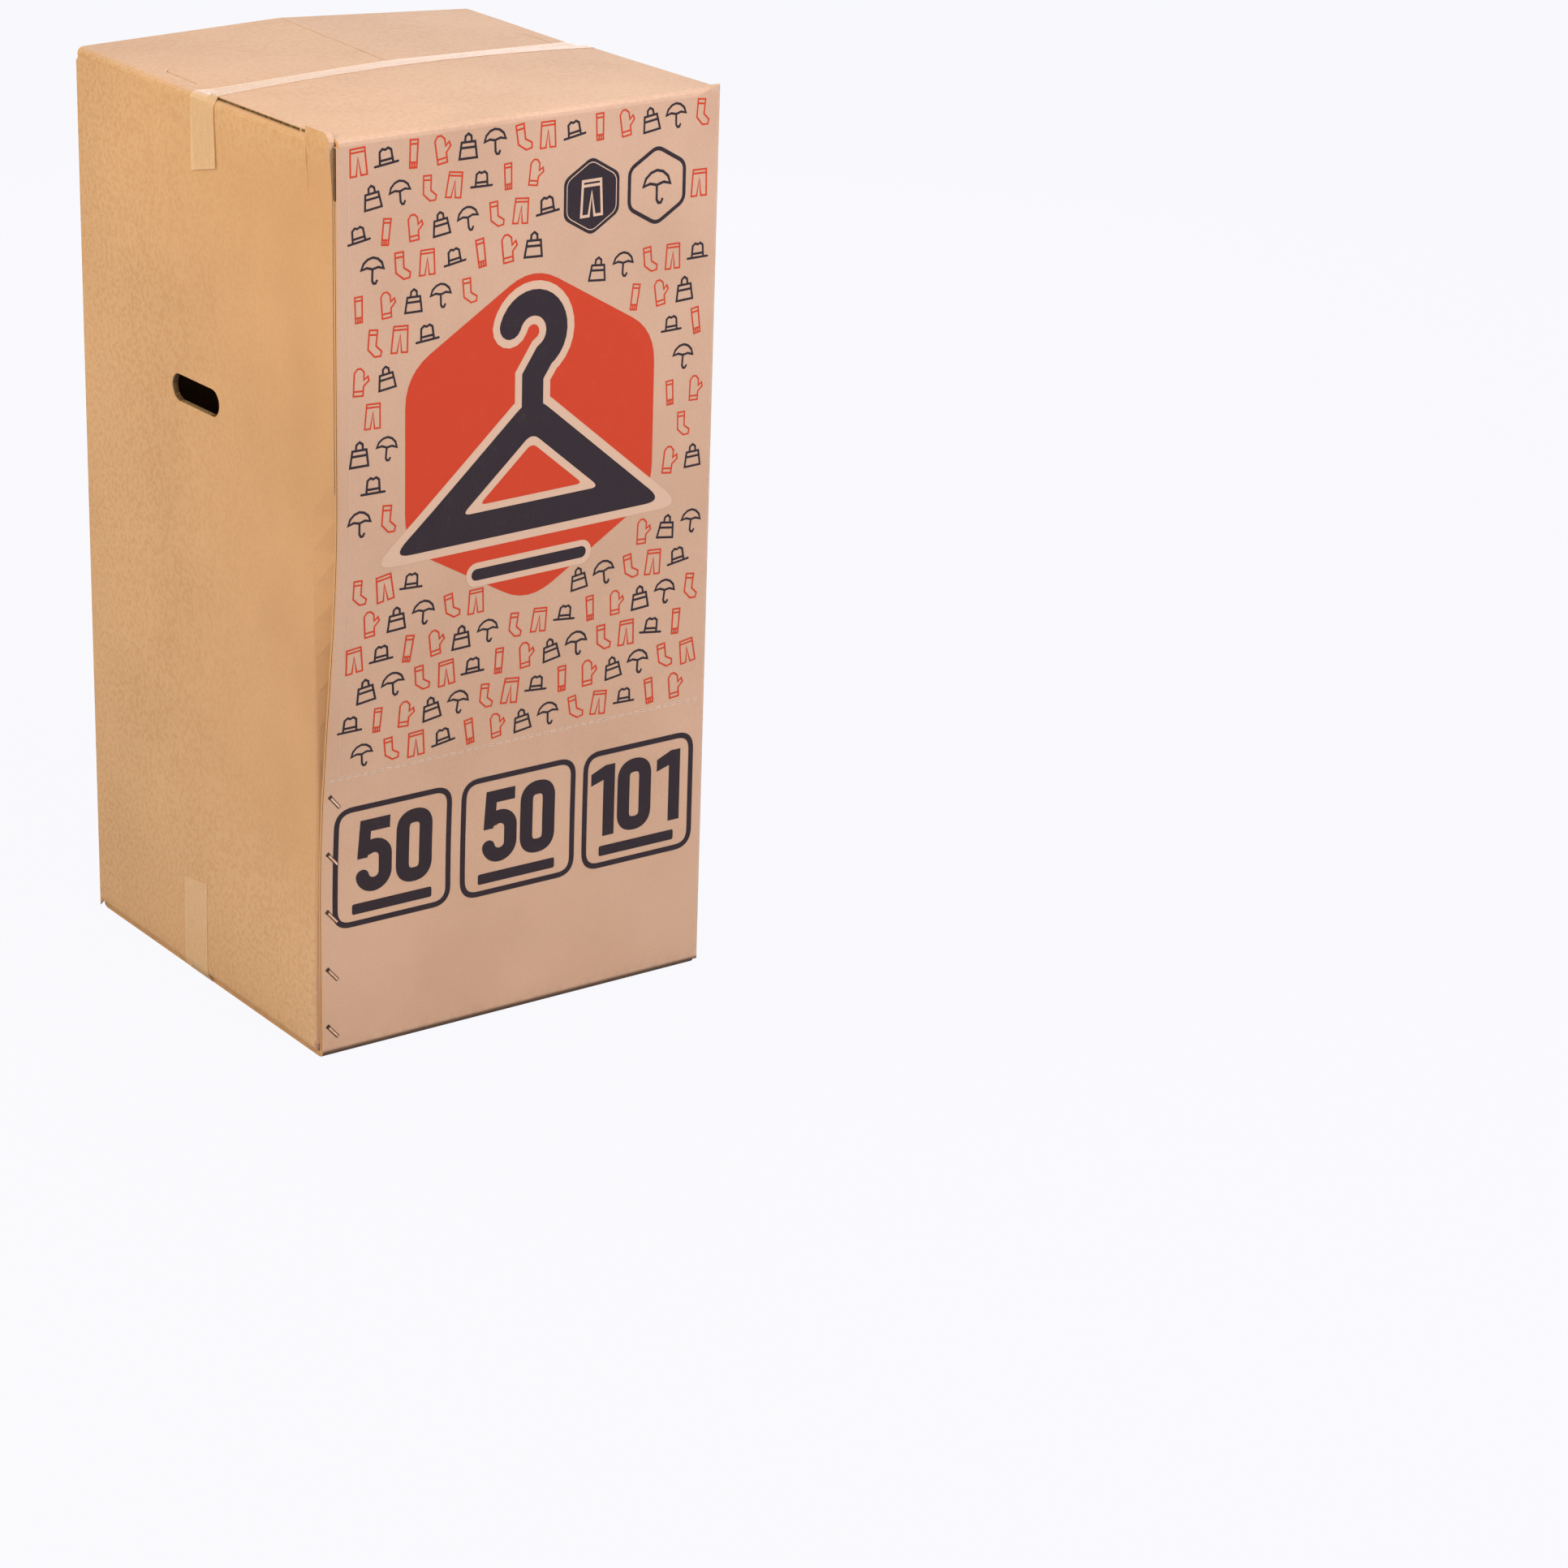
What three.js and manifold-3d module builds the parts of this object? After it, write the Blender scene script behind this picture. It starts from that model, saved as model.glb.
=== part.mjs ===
// Wardrobe moving carton: one folded blank of double-wall corrugated board, taped
// along its top and bottom seams and stapled down its front left corner.
// Millimetres, +Z up, origin at the centre of the base, the printed front faces -Y.
import * as THREE from 'three';
import { mergeVertices } from 'three/addons/utils/BufferGeometryUtils.js';
import Module from 'manifold-3d';

// Carton size and board
const width = 500;
const depth = 500;
const creaseHeight = 1005;
const board = 6.5;
const halfWidth = width / 2;
const halfDepth = depth / 2;
const wallBottom = 15;
const foldRadius = board + 0.8;
const cornerRun = 10;
const cornerFoot = 4.5;
const foldInset = 0.08;
const foldStart = 0.5;
const gap = 0.3;

// The stapling tab holds the free edge of the front panel out over its upper part
const tabReach = 40;
const tabLength = 46.4;
const tabRise = 5.5;
const tabCorner = 9;
const tabFoldRadius = board + 0.2;
const springStart = 170;
const springRise = 470;
const flapInset = 7;
const freeEdgeX = -(halfWidth - flapInset);
const frontRightX = halfWidth - 5;

// Top flaps: heights are measured from the front crease
const ridgeRise = 8;
const flapLength = 250;
const seamHalf = 0.5;
const backFlapDrop = 7.1;
const backFlapSag = 7.4;

// Distances from the side creases at which the side flaps' bend is set
const sideStations = [22, 90, 170];

// Carrying holes in the side walls
const gripLength = 100;
const gripHeight = 30;
const gripCentre = [-1, 677];

// Perforated line of the lower front door
const perforationHeight = 321.5;
const perforationPitch = 10;
const perforationCut = 6.5;
const perforationThickness = 0.6;

// Slits cut in the two side flaps
const slitX = halfWidth - 25;
const slitWidth = 1.2;

// Tapes
const tapeWidth = 50;
const tapeThickness = 0.3;
const topTapeDrop = 85;
const topTapeSlant = 11;
const bottomTapeCentre = 14.5;
const bottomTapeRise = 116;
const bottomTapeSlant = 8;
const tapeRecess = 0.9;

// Staples
const stapleHeights = [295, 228.4, 161.8, 95.2, 28.6];
const crownLength = 16;
const wireThickness = 0.7;
const wireWidth = 2.2;
const stapleTilt = THREE.MathUtils.degToRad(49);
const stapleX = -(halfWidth - 20);
const clinchLength = 4;

// Loose hanging rail, lying on the inner floor
const railRadius = 12.5;
const railBore = 11;
const railLength = width - 30;
const railY = halfDepth - 45;

const wasm = await Module();
wasm.setup();

const { clamp, lerp, smoothstep } = THREE.MathUtils;

// Conversion between three.js geometry and solids
function solid(geometry) {
  const bare = geometry.clone();
  bare.deleteAttribute('normal');
  bare.deleteAttribute('uv');
  const merged = mergeVertices(bare, 1e-4);
  return new wasm.Manifold(new wasm.Mesh({
    numProp: 3,
    vertProperties: new Float32Array(merged.attributes.position.array),
    triVerts: new Uint32Array(merged.index.array),
  }));
}

function geometryOf(body) {
  const mesh = body.getMesh();
  const geometry = new THREE.BufferGeometry();
  geometry.setAttribute('position', new THREE.BufferAttribute(mesh.vertProperties, 3));
  geometry.setIndex(new THREE.BufferAttribute(mesh.triVerts, 1));
  geometry.computeVertexNormals();
  return geometry;
}

// Closed body from rings of matching points. The second half of each ring runs back
// along the first, so both ends are closed by strips between the two halves.
function loft(rings) {
  const count = rings[0].length;
  const positions = rings.flat().flatMap((point) => [point.x, point.y, point.z]);
  const index = [];
  for (let level = 0; level + 1 < rings.length; level += 1) {
    for (let k = 0; k < count; k += 1) {
      const a = level * count + k;
      const b = level * count + ((k + 1) % count);
      index.push(a, b, b + count, a, b + count, a + count);
    }
  }
  const last = (rings.length - 1) * count;
  for (let k = 0; k + 1 < count / 2; k += 1) {
    const [a, b, c, d] = [k, k + 1, count - 2 - k, count - 1 - k];
    index.push(a, c, b, a, d, c);
    index.push(last + a, last + b, last + c, last + a, last + c, last + d);
  }
  const geometry = new THREE.BufferGeometry();
  geometry.setAttribute('position', new THREE.Float32BufferAttribute(positions, 3));
  geometry.setIndex(index);
  return geometry;
}

// Closed sheet between an outer and an inner grid of points, both indexed [row][column]
function sheet(outer, inner) {
  const rows = outer.length;
  const columns = outer[0].length;
  const size = rows * columns;
  const all = [...outer.flat(), ...inner.flat()];
  const index = [];
  const at = (row, column, layer) => layer * size + row * columns + column;
  const quad = (a, b, c, d) => index.push(a, b, c, a, c, d);
  for (let r = 0; r + 1 < rows; r += 1) {
    for (let c = 0; c + 1 < columns; c += 1) {
      quad(at(r, c, 0), at(r, c + 1, 0), at(r + 1, c + 1, 0), at(r + 1, c, 0));
      quad(at(r, c, 1), at(r + 1, c, 1), at(r + 1, c + 1, 1), at(r, c + 1, 1));
    }
  }
  for (let c = 0; c + 1 < columns; c += 1) {
    quad(at(0, c, 0), at(0, c, 1), at(0, c + 1, 1), at(0, c + 1, 0));
    quad(at(rows - 1, c, 0), at(rows - 1, c + 1, 0), at(rows - 1, c + 1, 1), at(rows - 1, c, 1));
  }
  for (let r = 0; r + 1 < rows; r += 1) {
    quad(at(r, 0, 0), at(r + 1, 0, 0), at(r + 1, 0, 1), at(r, 0, 1));
    quad(at(r, columns - 1, 0), at(r, columns - 1, 1), at(r + 1, columns - 1, 1), at(r + 1, columns - 1, 0));
  }
  const geometry = new THREE.BufferGeometry();
  const positions = all.flatMap((point) => [point.x, point.y, point.z]);
  geometry.setAttribute('position', new THREE.Float32BufferAttribute(positions, 3));
  geometry.setIndex(index);
  return geometry;
}

// Spread of values from first to last
function spread(first, last, steps) {
  return Array.from({ length: steps + 1 }, (_, k) => lerp(first, last, k / steps));
}

// How far the free edge of the front panel stands out at a height
function springOut(z) {
  return tabReach * smoothstep(z, springStart, springStart + springRise);
}

// Outer face of the front panel
function frontY(x, z) {
  const share = clamp((frontRightX - x) / (frontRightX - freeEdgeX), 0, 1);
  return -halfDepth - springOut(z) * share;
}

// Outer face of the left wall, which leans in towards its front fold
function leftX(y, z) {
  const lean = 6.5 * smoothstep(z, 30, 305) - 3.5 * smoothstep(z, 950, 1000);
  return -halfWidth + lean * clamp((halfDepth - y) / depth, 0, 1);
}

// Height of the side creases against the front crease
function sideCrease(y) {
  return -3.3 * (1 - smoothstep(y, -20, halfDepth));
}

// Rise of the front flap's arch over its crease, v inwards from the crease
function frontArch(x, v) {
  return ridgeRise * ((v - 5) / (flapLength - 15)) * (1 - (x / frontRightX) ** 2);
}

// Height of a side flap beside its crease, and along its free edge
function sidePlate(y) {
  return lerp(-7.2, sideCrease(y), smoothstep(y, -50, 30));
}

function seamHeight(y) {
  return 0.9 + (y + 20) * 0.0345;
}

// Share of the way from the seam to the side crease
function seamShare(distance) {
  return clamp((distance - seamHalf) / (halfWidth - foldRadius - seamHalf), 0, 1);
}

// Tab angle that puts its outer face just behind the front panel's free edge
function tabAngle(z) {
  return Math.acos(clamp(springOut(z) / tabReach, 0, 1));
}

// Section of the wall strip: outer points from the free edge of the front panel round
// to the tab's end, then the inner points back
function wallSection(z) {
  const outer = [];
  const inner = [];
  const add = (x, y, xInner, yInner) => {
    outer.push([x, y]);
    inner.push([xInner, yInner]);
  };
  for (const x of spread(freeEdgeX, frontRightX, 16)) {
    add(x, frontY(x, z), x === frontRightX ? halfWidth - board : x, frontY(x, z) + board);
  }
  const corner = (cx, cy, from) => {
    const ix = cx + (cx > 0 ? 5 - board : board - 5);
    const iy = cy + (cy > 0 ? 5 - board : board - 5);
    for (const share of [0.33, 0.67, 1]) {
      const angle = from + (Math.PI / 2) * share;
      const soft = 0.6;
      add(
        cx + 5 * Math.cos(angle), cy + 5 * Math.sin(angle),
        ix + soft * (Math.cos(angle) - Math.cos(from + Math.PI / 4)),
        iy + soft * (Math.sin(angle) - Math.sin(from + Math.PI / 4)),
      );
    }
  };
  corner(halfWidth - 5, -halfDepth + 5, -Math.PI / 2);
  for (const y of [-halfDepth + cornerRun, 0, halfDepth - cornerRun]) {
    add(halfWidth, y, halfWidth - board, y);
  }
  add(halfWidth, halfDepth - 5, halfWidth - board, halfDepth - 7.6);
  corner(halfWidth - 5, halfDepth - 5, 0);
  for (const x of [halfWidth - cornerRun, 0, -halfWidth + cornerRun]) {
    add(x, halfDepth, x, halfDepth - board);
  }
  add(-halfWidth + 5, halfDepth, -halfWidth + 7.6, halfDepth - board);
  corner(-halfWidth + 5, halfDepth - 5, Math.PI / 2);
  for (const y of [halfDepth - cornerRun, depth / 4, 0, -depth / 4]) {
    add(leftX(y, z), y, leftX(y, z) + board, y);
  }
  // Fold of the tab
  const foldY = -halfDepth + board + tabFoldRadius + gap;
  const fold = tabAngle(z);
  const centreX = leftX(foldY, z) + tabFoldRadius;
  const hinge = tabFoldRadius - board;
  for (const share of [0, 1 / 3, 2 / 3, 1]) {
    const angle = fold * share;
    add(
      centreX - tabFoldRadius * Math.cos(angle), foldY - tabFoldRadius * Math.sin(angle),
      centreX - hinge * Math.cos(angle), foldY - hinge * Math.sin(angle),
    );
  }
  const straight = tabLength - tabFoldRadius * fold;
  for (const run of [0.5, straight - tabCorner, straight - tabCorner / 3, straight]) {
    const x = centreX - tabFoldRadius * Math.cos(fold) + run * Math.sin(fold);
    const y = foldY - tabFoldRadius * Math.sin(fold) - run * Math.cos(fold);
    add(x, y, x + board * Math.cos(fold), y + board * Math.sin(fold));
  }
  return [...outer, ...inner.reverse()];
}

// Top of the wall strip along the outline
function wallTop(x, y) {
  const base = creaseHeight - foldRadius - foldStart;
  const ear = x > halfWidth - 10 && y < -halfDepth + 10 ? foldRadius + 2.5 : 0;
  if (y > halfDepth - 10) {
    return base - backFlapDrop;
  }
  const tabStart = -halfDepth + board + tabFoldRadius + gap - 0.2;
  if (x < -halfWidth + 12 && y < tabStart && y > frontY(x, creaseHeight) + board + 0.01) {
    const past = clamp((tabStart - 0.2 - y - tabLength + tabCorner) / tabCorner, 0, 1);
    return creaseHeight + tabRise - tabCorner * past * past;
  }
  if (Math.abs(x) > halfWidth - 10 && y > -halfDepth + 10) {
    return base + sideCrease(y);
  }
  return base + ear;
}

// Bottom of the wall strip: the corners reach down between the flaps
function wallBase(x, y) {
  const atCorner = Math.abs(x) > halfWidth - 5.5 && Math.abs(y) > halfDepth - 5.5;
  return atCorner ? cornerFoot : wallBottom;
}

const springLevels = spread(springStart, springStart + springRise, 12).map((z) => z / creaseHeight);
const wallLevels = [0, 0.07, ...springLevels, 0.8, 0.94, 0.965, 0.985, 1];

function wallRing(level) {
  const section = wallSection(lerp(wallBottom, creaseHeight, level));
  const top = wallSection(creaseHeight);
  return section.map(([x, y], k) => {
    const z = lerp(wallBase(x, y), wallTop(...top[k]), level);
    return new THREE.Vector3(x, y, z);
  });
}

const walls = solid(loft(wallLevels.map(wallRing)));

// Flap folded from a wall: the sheet starts inside the wall, turns over the crease and
// runs out to the free edge. frame(u) gives the crease point and the direction inwards,
// surface(u, v) the outer point of the plate, side is +1 at the top and -1 at the bottom.
function flap({ columns, distances, crease, inward, lift, thickness, side, slant = () => 0 }) {
  const outer = [];
  const inner = [];
  const turns = [0, 30, 60, 90].map((degrees) => THREE.MathUtils.degToRad(degrees));
  const place = (u, inwards, height) => {
    const origin = crease(u);
    return new THREE.Vector3(
      origin.x + inward.x * inwards + slant(u, inwards),
      origin.y + inward.y * inwards,
      origin.z + height * side,
    );
  };
  outer.push(columns.map((u) => place(u, 0.6, -foldRadius - 4)));
  inner.push(columns.map((u) => place(u, board - 0.6, -foldRadius - 4)));
  for (const turn of turns) {
    const rim = foldRadius - foldInset * Math.cos(turn);
    outer.push(columns.map((u) => place(
      u,
      foldRadius - rim * Math.cos(turn),
      rim * Math.sin(turn) - foldRadius,
    )));
    inner.push(columns.map((u) => {
      const through = lerp(board - 2 * foldInset, thickness(u), turn / (Math.PI / 2));
      const radius = rim - through;
      return place(u, foldRadius - radius * Math.cos(turn), radius * Math.sin(turn) - foldRadius);
    }));
  }
  for (const distance of distances) {
    outer.push(columns.map((u) => place(u, distance, lift(u, distance))));
    inner.push(columns.map((u) => place(u, distance, lift(u, distance) - thickness(u))));
  }
  return [outer, inner];
}

// Turns a flap's grids so that the faces look outwards
function flapSolid(grids, flipped) {
  const [outer, inner] = grids;
  const turned = (grid) => (flipped ? grid.map((row) => [...row].reverse()) : grid);
  return solid(sheet(turned(outer), turned(inner)));
}

// Front top flap, arched up over the ridge of the side flaps
const frontFlap = flapSolid(flap({
  columns: [freeEdgeX, -halfWidth + 14, -halfWidth + 30, ...spread(-0.36 * width, 0.36 * width, 6),
    halfWidth - 28, halfWidth - 12, frontRightX],
  distances: [30, ...[0.2, 0.28, 0.52, 0.76, 1].map((share) => share * flapLength)],
  crease: (x) => new THREE.Vector3(x, frontY(x, creaseHeight), creaseHeight),
  inward: new THREE.Vector2(0, 1),
  lift: frontArch,
  slant: (x, v) => (x === freeEdgeX ? 3 * (1 - smoothstep(v, 48, 70)) : 0),
  thickness: (x) => lerp(3.6, board, smoothstep(frontRightX - Math.abs(x), 0, 24)),
  side: 1,
}), false);

// Side top flaps, meeting on the middle line
function sideFlap(direction) {
  const wallX = (y) => (direction < 0 ? leftX(y, creaseHeight) : halfWidth);
  const end = halfDepth - flapInset;
  const rows = [-end + 0.4, ...[-0.4, -0.28, -0.16].map((share) => share * depth),
    -50, -30, -10, 10, 30, 0.18 * depth, 0.34 * depth, end];
  const grids = flap({
    columns: rows,
    distances: [...sideStations, halfWidth],
    crease: (y) => new THREE.Vector3(wallX(y), y, creaseHeight + sideCrease(y)),
    inward: new THREE.Vector2(-direction, 0),
    lift: (y, v) => {
      const nearCrease = smoothstep(v, 0, 22) * (sidePlate(y) - sideCrease(y));
      return lerp(seamHeight(y) - sideCrease(y), nearCrease, seamShare(halfWidth - v));
    },
    thickness: () => board,
    side: 1,
  });
  // The last row of points lies on the seam
  grids.forEach((grid, layer) => {
    const last = grid.at(-1);
    rows.forEach((y, k) => {
      last[k].set(direction * seamHalf, y, creaseHeight + seamHeight(y) - layer * board);
    });
  });
  return flapSolid(grids, direction < 0);
}

// Back top flap, the innermost one
const backFlap = flapSolid(flap({
  columns: spread(-halfWidth + 8, halfWidth - 8, 4),
  distances: [90, 170, halfDepth - 2],
  crease: (x) => new THREE.Vector3(x, halfDepth, creaseHeight - backFlapDrop),
  inward: new THREE.Vector2(0, -1),
  lift: (x, v) => -backFlapSag * (v / (halfDepth - 2)),
  thickness: () => board,
  side: 1,
}), true);

// Bottom flaps: the front and back ones lie outside, the side ones inside
function bottomFlap(sign) {
  const reach = halfDepth - 0.5;
  return flapSolid(flap({
    columns: spread(freeEdgeX, -freeEdgeX, 2),
    distances: [120, reach],
    crease: (x) => new THREE.Vector3(x, sign * halfDepth, 0),
    inward: new THREE.Vector2(0, -sign),
    lift: () => 0,
    thickness: () => board,
    side: -1,
  }), sign < 0);
}

function innerBottomFlap(sign) {
  const edge = sign < 0 ? leftX(0, 10) : halfWidth;
  return flapSolid(flap({
    columns: spread(-halfDepth + 8, halfDepth - 8, 2),
    distances: [120, Math.abs(edge) - 0.5],
    crease: (y) => new THREE.Vector3(sign < 0 ? leftX(y, 10) : edge, y, board + 0.7),
    inward: new THREE.Vector2(-sign, 0),
    lift: () => 0,
    thickness: () => board,
    side: -1,
  }), sign > 0);
}

// Bars that carry the outer walls down to their lower crease
function wallFoot(sign) {
  const low = foldRadius + foldStart;
  const high = wallBottom + 2;
  const foot = new THREE.BoxGeometry(width - 2 * flapInset, board, high - low);
  foot.translate(0, sign * (halfDepth - board / 2), (high + low) / 2);
  return solid(foot);
}

// Cuts
function stadium(length, height) {
  const shape = new THREE.Shape();
  const straight = (length - height) / 2;
  shape.absarc(straight, 0, height / 2, -Math.PI / 2, Math.PI / 2, false);
  shape.absarc(-straight, 0, height / 2, Math.PI / 2, (3 * Math.PI) / 2, false);
  return shape;
}

function gripCut() {
  const bar = new THREE.ExtrudeGeometry(stadium(gripLength, gripHeight), {
    depth: width + 40, bevelEnabled: false, curveSegments: 10,
  });
  bar.rotateX(Math.PI / 2);
  bar.rotateZ(Math.PI / 2);
  bar.translate(-halfWidth - 20, gripCentre[0], gripCentre[1]);
  return solid(bar);
}

function perforationCuts() {
  const cuts = [];
  for (let x = freeEdgeX + 8; x < frontRightX - 6; x += perforationPitch) {
    const dash = new THREE.BoxGeometry(perforationCut, board + 3, perforationThickness);
    dash.translate(x, frontY(x, perforationHeight) + board / 2 - 0.6, perforationHeight);
    cuts.push(solid(dash));
  }
  return wasm.Manifold.union(cuts);
}

function slitCut(direction, start, end, bend) {
  const path = new THREE.CurvePath();
  path.add(new THREE.LineCurve3(
    new THREE.Vector3(direction * slitX, start, 0),
    new THREE.Vector3(direction * slitX, end, 0),
  ));
  path.add(new THREE.QuadraticBezierCurve3(
    new THREE.Vector3(direction * slitX, end, 0),
    new THREE.Vector3(direction * slitX, end + 10, 0),
    new THREE.Vector3(direction * (slitX - bend), end + 16, 0),
  ));
  const points = path.curves.flatMap((curve, k) => curve.getPoints(k ? 5 : 1).slice(k ? 1 : 0));
  const rim = [
    ...points.map((p) => new THREE.Vector2(p.x - slitWidth / 2, p.y)),
    ...points.map((p) => new THREE.Vector2(p.x + slitWidth / 2, p.y)).reverse(),
  ];
  const cut = new THREE.ExtrudeGeometry(new THREE.Shape(rim), { depth: 13, bevelEnabled: false });
  cut.translate(0, 0, creaseHeight - 9.2);
  return solid(cut);
}

// Staples: one bent wire each, crown outside, legs through panel and tab, clinched
function stapleOutline(legLength) {
  const half = crownLength / 2;
  const t = wireThickness;
  const outline = new THREE.Shape();
  outline.moveTo(-half, 0);
  outline.lineTo(half, 0);
  outline.lineTo(half, legLength);
  outline.lineTo(half - clinchLength, legLength);
  outline.lineTo(half - clinchLength, legLength - t);
  outline.lineTo(half - t, legLength - t);
  outline.lineTo(half - t, t);
  outline.lineTo(-half + t, t);
  outline.lineTo(-half + t, legLength - t);
  outline.lineTo(-half + clinchLength, legLength - t);
  outline.lineTo(-half + clinchLength, legLength);
  outline.lineTo(-half, legLength);
  outline.closePath();
  return outline;
}

// Places a shape drawn with its crown along X and its legs along +Y
function placeStaple(geometry, z) {
  const slope = springOut(z + 0.5) - springOut(z - 0.5);
  geometry.rotateY(stapleTilt);
  geometry.rotateX(Math.atan(slope));
  geometry.translate(stapleX, frontY(stapleX, z) - wireThickness - 1.5 * gap, z);
  return geometry;
}

function stapleGeometry(z) {
  const wire = new THREE.ExtrudeGeometry(stapleOutline(stapleDepth(z)), {
    depth: wireWidth, bevelEnabled: false,
  });
  wire.translate(0, 0, -wireWidth / 2);
  return placeStaple(wire, z);
}

// Depth from the crown to the clinched ends behind the tab
function stapleDepth(z) {
  return 2 * wireThickness + 2 * board + 3 * gap + springOut(z) + 0.6;
}

function stapleHoles(z) {
  const side = crownLength / 2 - wireThickness / 2;
  return [-side, side].map((x) => {
    const length = stapleDepth(z) + 4;
    const hole = new THREE.BoxGeometry(wireThickness + 2 * gap, length, wireWidth + 2 * gap);
    hole.translate(x, length / 2 + wireThickness, 0);
    return solid(placeStaple(hole, z));
  });
}

const tapeGroove = new THREE.BoxGeometry(width + 20, tapeWidth + 2, 2 * tapeRecess);
tapeGroove.translate(0, bottomTapeCentre, 0);

const blank = wasm.Manifold.union([
  walls, frontFlap, sideFlap(-1), sideFlap(1), backFlap,
  bottomFlap(-1), bottomFlap(1), innerBottomFlap(-1), innerBottomFlap(1),
  wallFoot(-1), wallFoot(1),
]);
const cuts = wasm.Manifold.union([
  gripCut(), perforationCuts(), solid(tapeGroove),
  slitCut(-1, 24, 84, 14), slitCut(1, 24, 84, 6),
  ...stapleHeights.flatMap(stapleHoles),
]);
const carton = blank.subtract(cuts);

// Tape: each column of the band follows its own line over the board, and the outer
// layer stands off it by the tape's thickness. turn is +1 where the line runs with the
// outside on its left and -1 where it runs the other way.
function tapeSolid(columns, lineOf, turn) {
  const inner = columns.map(lineOf);
  const outer = inner.map((line) => line.map((point, k) => {
    const before = line[Math.max(k - 1, 0)];
    const after = line[Math.min(k + 1, line.length - 1)];
    const along = new THREE.Vector2(after.x - before.x, after.z - before.z).normalize();
    const offset = turn * tapeThickness;
    return new THREE.Vector3(point.x - along.y * offset, point.y, point.z + along.x * offset);
  }));
  return solid(turn > 0 ? sheet(outer, inner) : sheet(inner, outer));
}

// Upper face of the top flaps under the tape
function frontFlapTop(x, y) {
  return creaseHeight + frontArch(x, y - frontY(x, creaseHeight));
}

function sideFlapTop(x, y) {
  const face = x < 0 ? -leftX(y, creaseHeight) : halfWidth;
  const stops = [foldRadius, ...sideStations, face - seamHalf];
  const heights = [
    sideCrease(y),
    ...sideStations.map((v) => lerp(seamHeight(y), sidePlate(y), seamShare(halfWidth - v))),
    seamHeight(y),
  ];
  const v = face - Math.abs(x);
  const k = Math.max(stops.findIndex((stop) => stop >= v), 1);
  const share = (v - stops[k - 1]) / (stops[k] - stops[k - 1]);
  return creaseHeight + lerp(heights[k - 1], heights[k], share);
}

// One column of the top tape, offset from the free edge of the front flap
function topTapeLine(offset) {
  const onFlap = offset < 2;
  const line = [];
  const edgeY = (x) => frontY(clamp(x, freeEdgeX, frontRightX), creaseHeight) + flapLength;
  const wall = (side) => {
    const y = edgeY(side * halfWidth) + offset;
    const face = side < 0 ? -leftX(y, creaseHeight) : halfWidth;
    const fold = creaseHeight + sideCrease(y) - foldRadius;
    const standOff = (drop) => 1.2 * smoothstep(-offset, -2, 12) * (1 - smoothstep(drop, 12, 70));
    const slant = topTapeSlant * ((35 - offset) / tapeWidth);
    const drops = [topTapeDrop - slant, 55, 32, 12].map((drop) => (
      new THREE.Vector3(side * (face + gap + standOff(drop)), y, creaseHeight - drop)
    ));
    const turns = [0.35, 0.9, 1.45].map((angle) => {
      const radius = foldRadius + gap + 0.5;
      const x = face - foldRadius + radius * Math.cos(angle);
      return new THREE.Vector3(side * x, y, fold + radius * Math.sin(angle));
    });
    if (onFlap) {
      const corner = Math.abs(side < 0 ? freeEdgeX : frontRightX);
      turns[1].set(side * (corner + 1.3), y, creaseHeight - 0.9);
      turns[2].set(side * (corner + 0.4), y, creaseHeight + 0.4);
    }
    return [...drops, ...turns];
  };
  line.push(...wall(-1));
  const near = [0.468, 0.444, 0.38, 0.28, 0.18, 0.09, 0.024].map((share) => share * width);
  for (const x of [...near.map((value) => -value), ...near.reverse()]) {
    const y = edgeY(x) + offset;
    const under = onFlap ? frontFlapTop(x, y) : sideFlapTop(x, y);
    line.push(new THREE.Vector3(x, y, under + gap + (onFlap ? 0.1 : 0.5)));
  }
  line.push(...wall(1).reverse());
  return line;
}

const topTape = tapeSolid([-15, -8, 0.6, 4.5, 12, 24, 35], topTapeLine, 1);

// The bottom tape runs in the shallow band under the outer flaps and up both walls
function bottomTapeLine(offset) {
  const y = bottomTapeCentre + offset;
  const end = (side) => {
    const face = side < 0 ? (z) => -leftX(y, z) : () => halfWidth;
    const radius = foldRadius + gap + 0.2;
    const fold = face(10) - foldRadius;
    const slant = bottomTapeSlant * (offset / tapeWidth);
    return [
      ...[bottomTapeRise - slant, 60, 22].map((z) => [face(z) + gap, z]),
      [face(10) + gap + 0.1, wallBottom],
      [fold + radius * Math.cos(0.49), board + 0.7 + foldRadius - radius * Math.sin(0.49)],
      [halfWidth - flapInset + 0.9, 0.75],
      [halfWidth - flapInset - 0.5, 0.5],
    ].map(([x, z]) => new THREE.Vector3(side * x, y, z));
  };
  return [...end(-1), new THREE.Vector3(0, y, 0.5), ...end(1).reverse()];
}

const bottomTape = tapeSolid(spread(-tapeWidth / 2, tapeWidth / 2, 2), bottomTapeLine, -1);

// Steel tube that clothes hang from, packed loose inside
function railGeometry() {
  const profile = [
    [railBore, -railLength / 2], [railRadius, -railLength / 2],
    [railRadius, railLength / 2], [railBore, railLength / 2], [railBore, -railLength / 2],
  ].map(([radius, height]) => new THREE.Vector2(radius, height));
  const tube = new THREE.LatheGeometry(profile, 40);
  tube.rotateZ(Math.PI / 2);
  tube.translate(0, railY, board * 2 + 0.7 + gap + railRadius);
  return tube;
}

// The sprung front edge reaches further out than the back, so the whole carton moves
// back by half of that to stand centred on the origin
const group = new THREE.Group();
group.name = 'wardrobe_carton';
group.position.y = tabReach / 2;

function addPart(name, geometry, color, roughness, metalness = 0) {
  const material = new THREE.MeshStandardMaterial({ color, roughness, metalness });
  const mesh = new THREE.Mesh(geometry, material);
  mesh.name = name;
  group.add(mesh);
}

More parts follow.
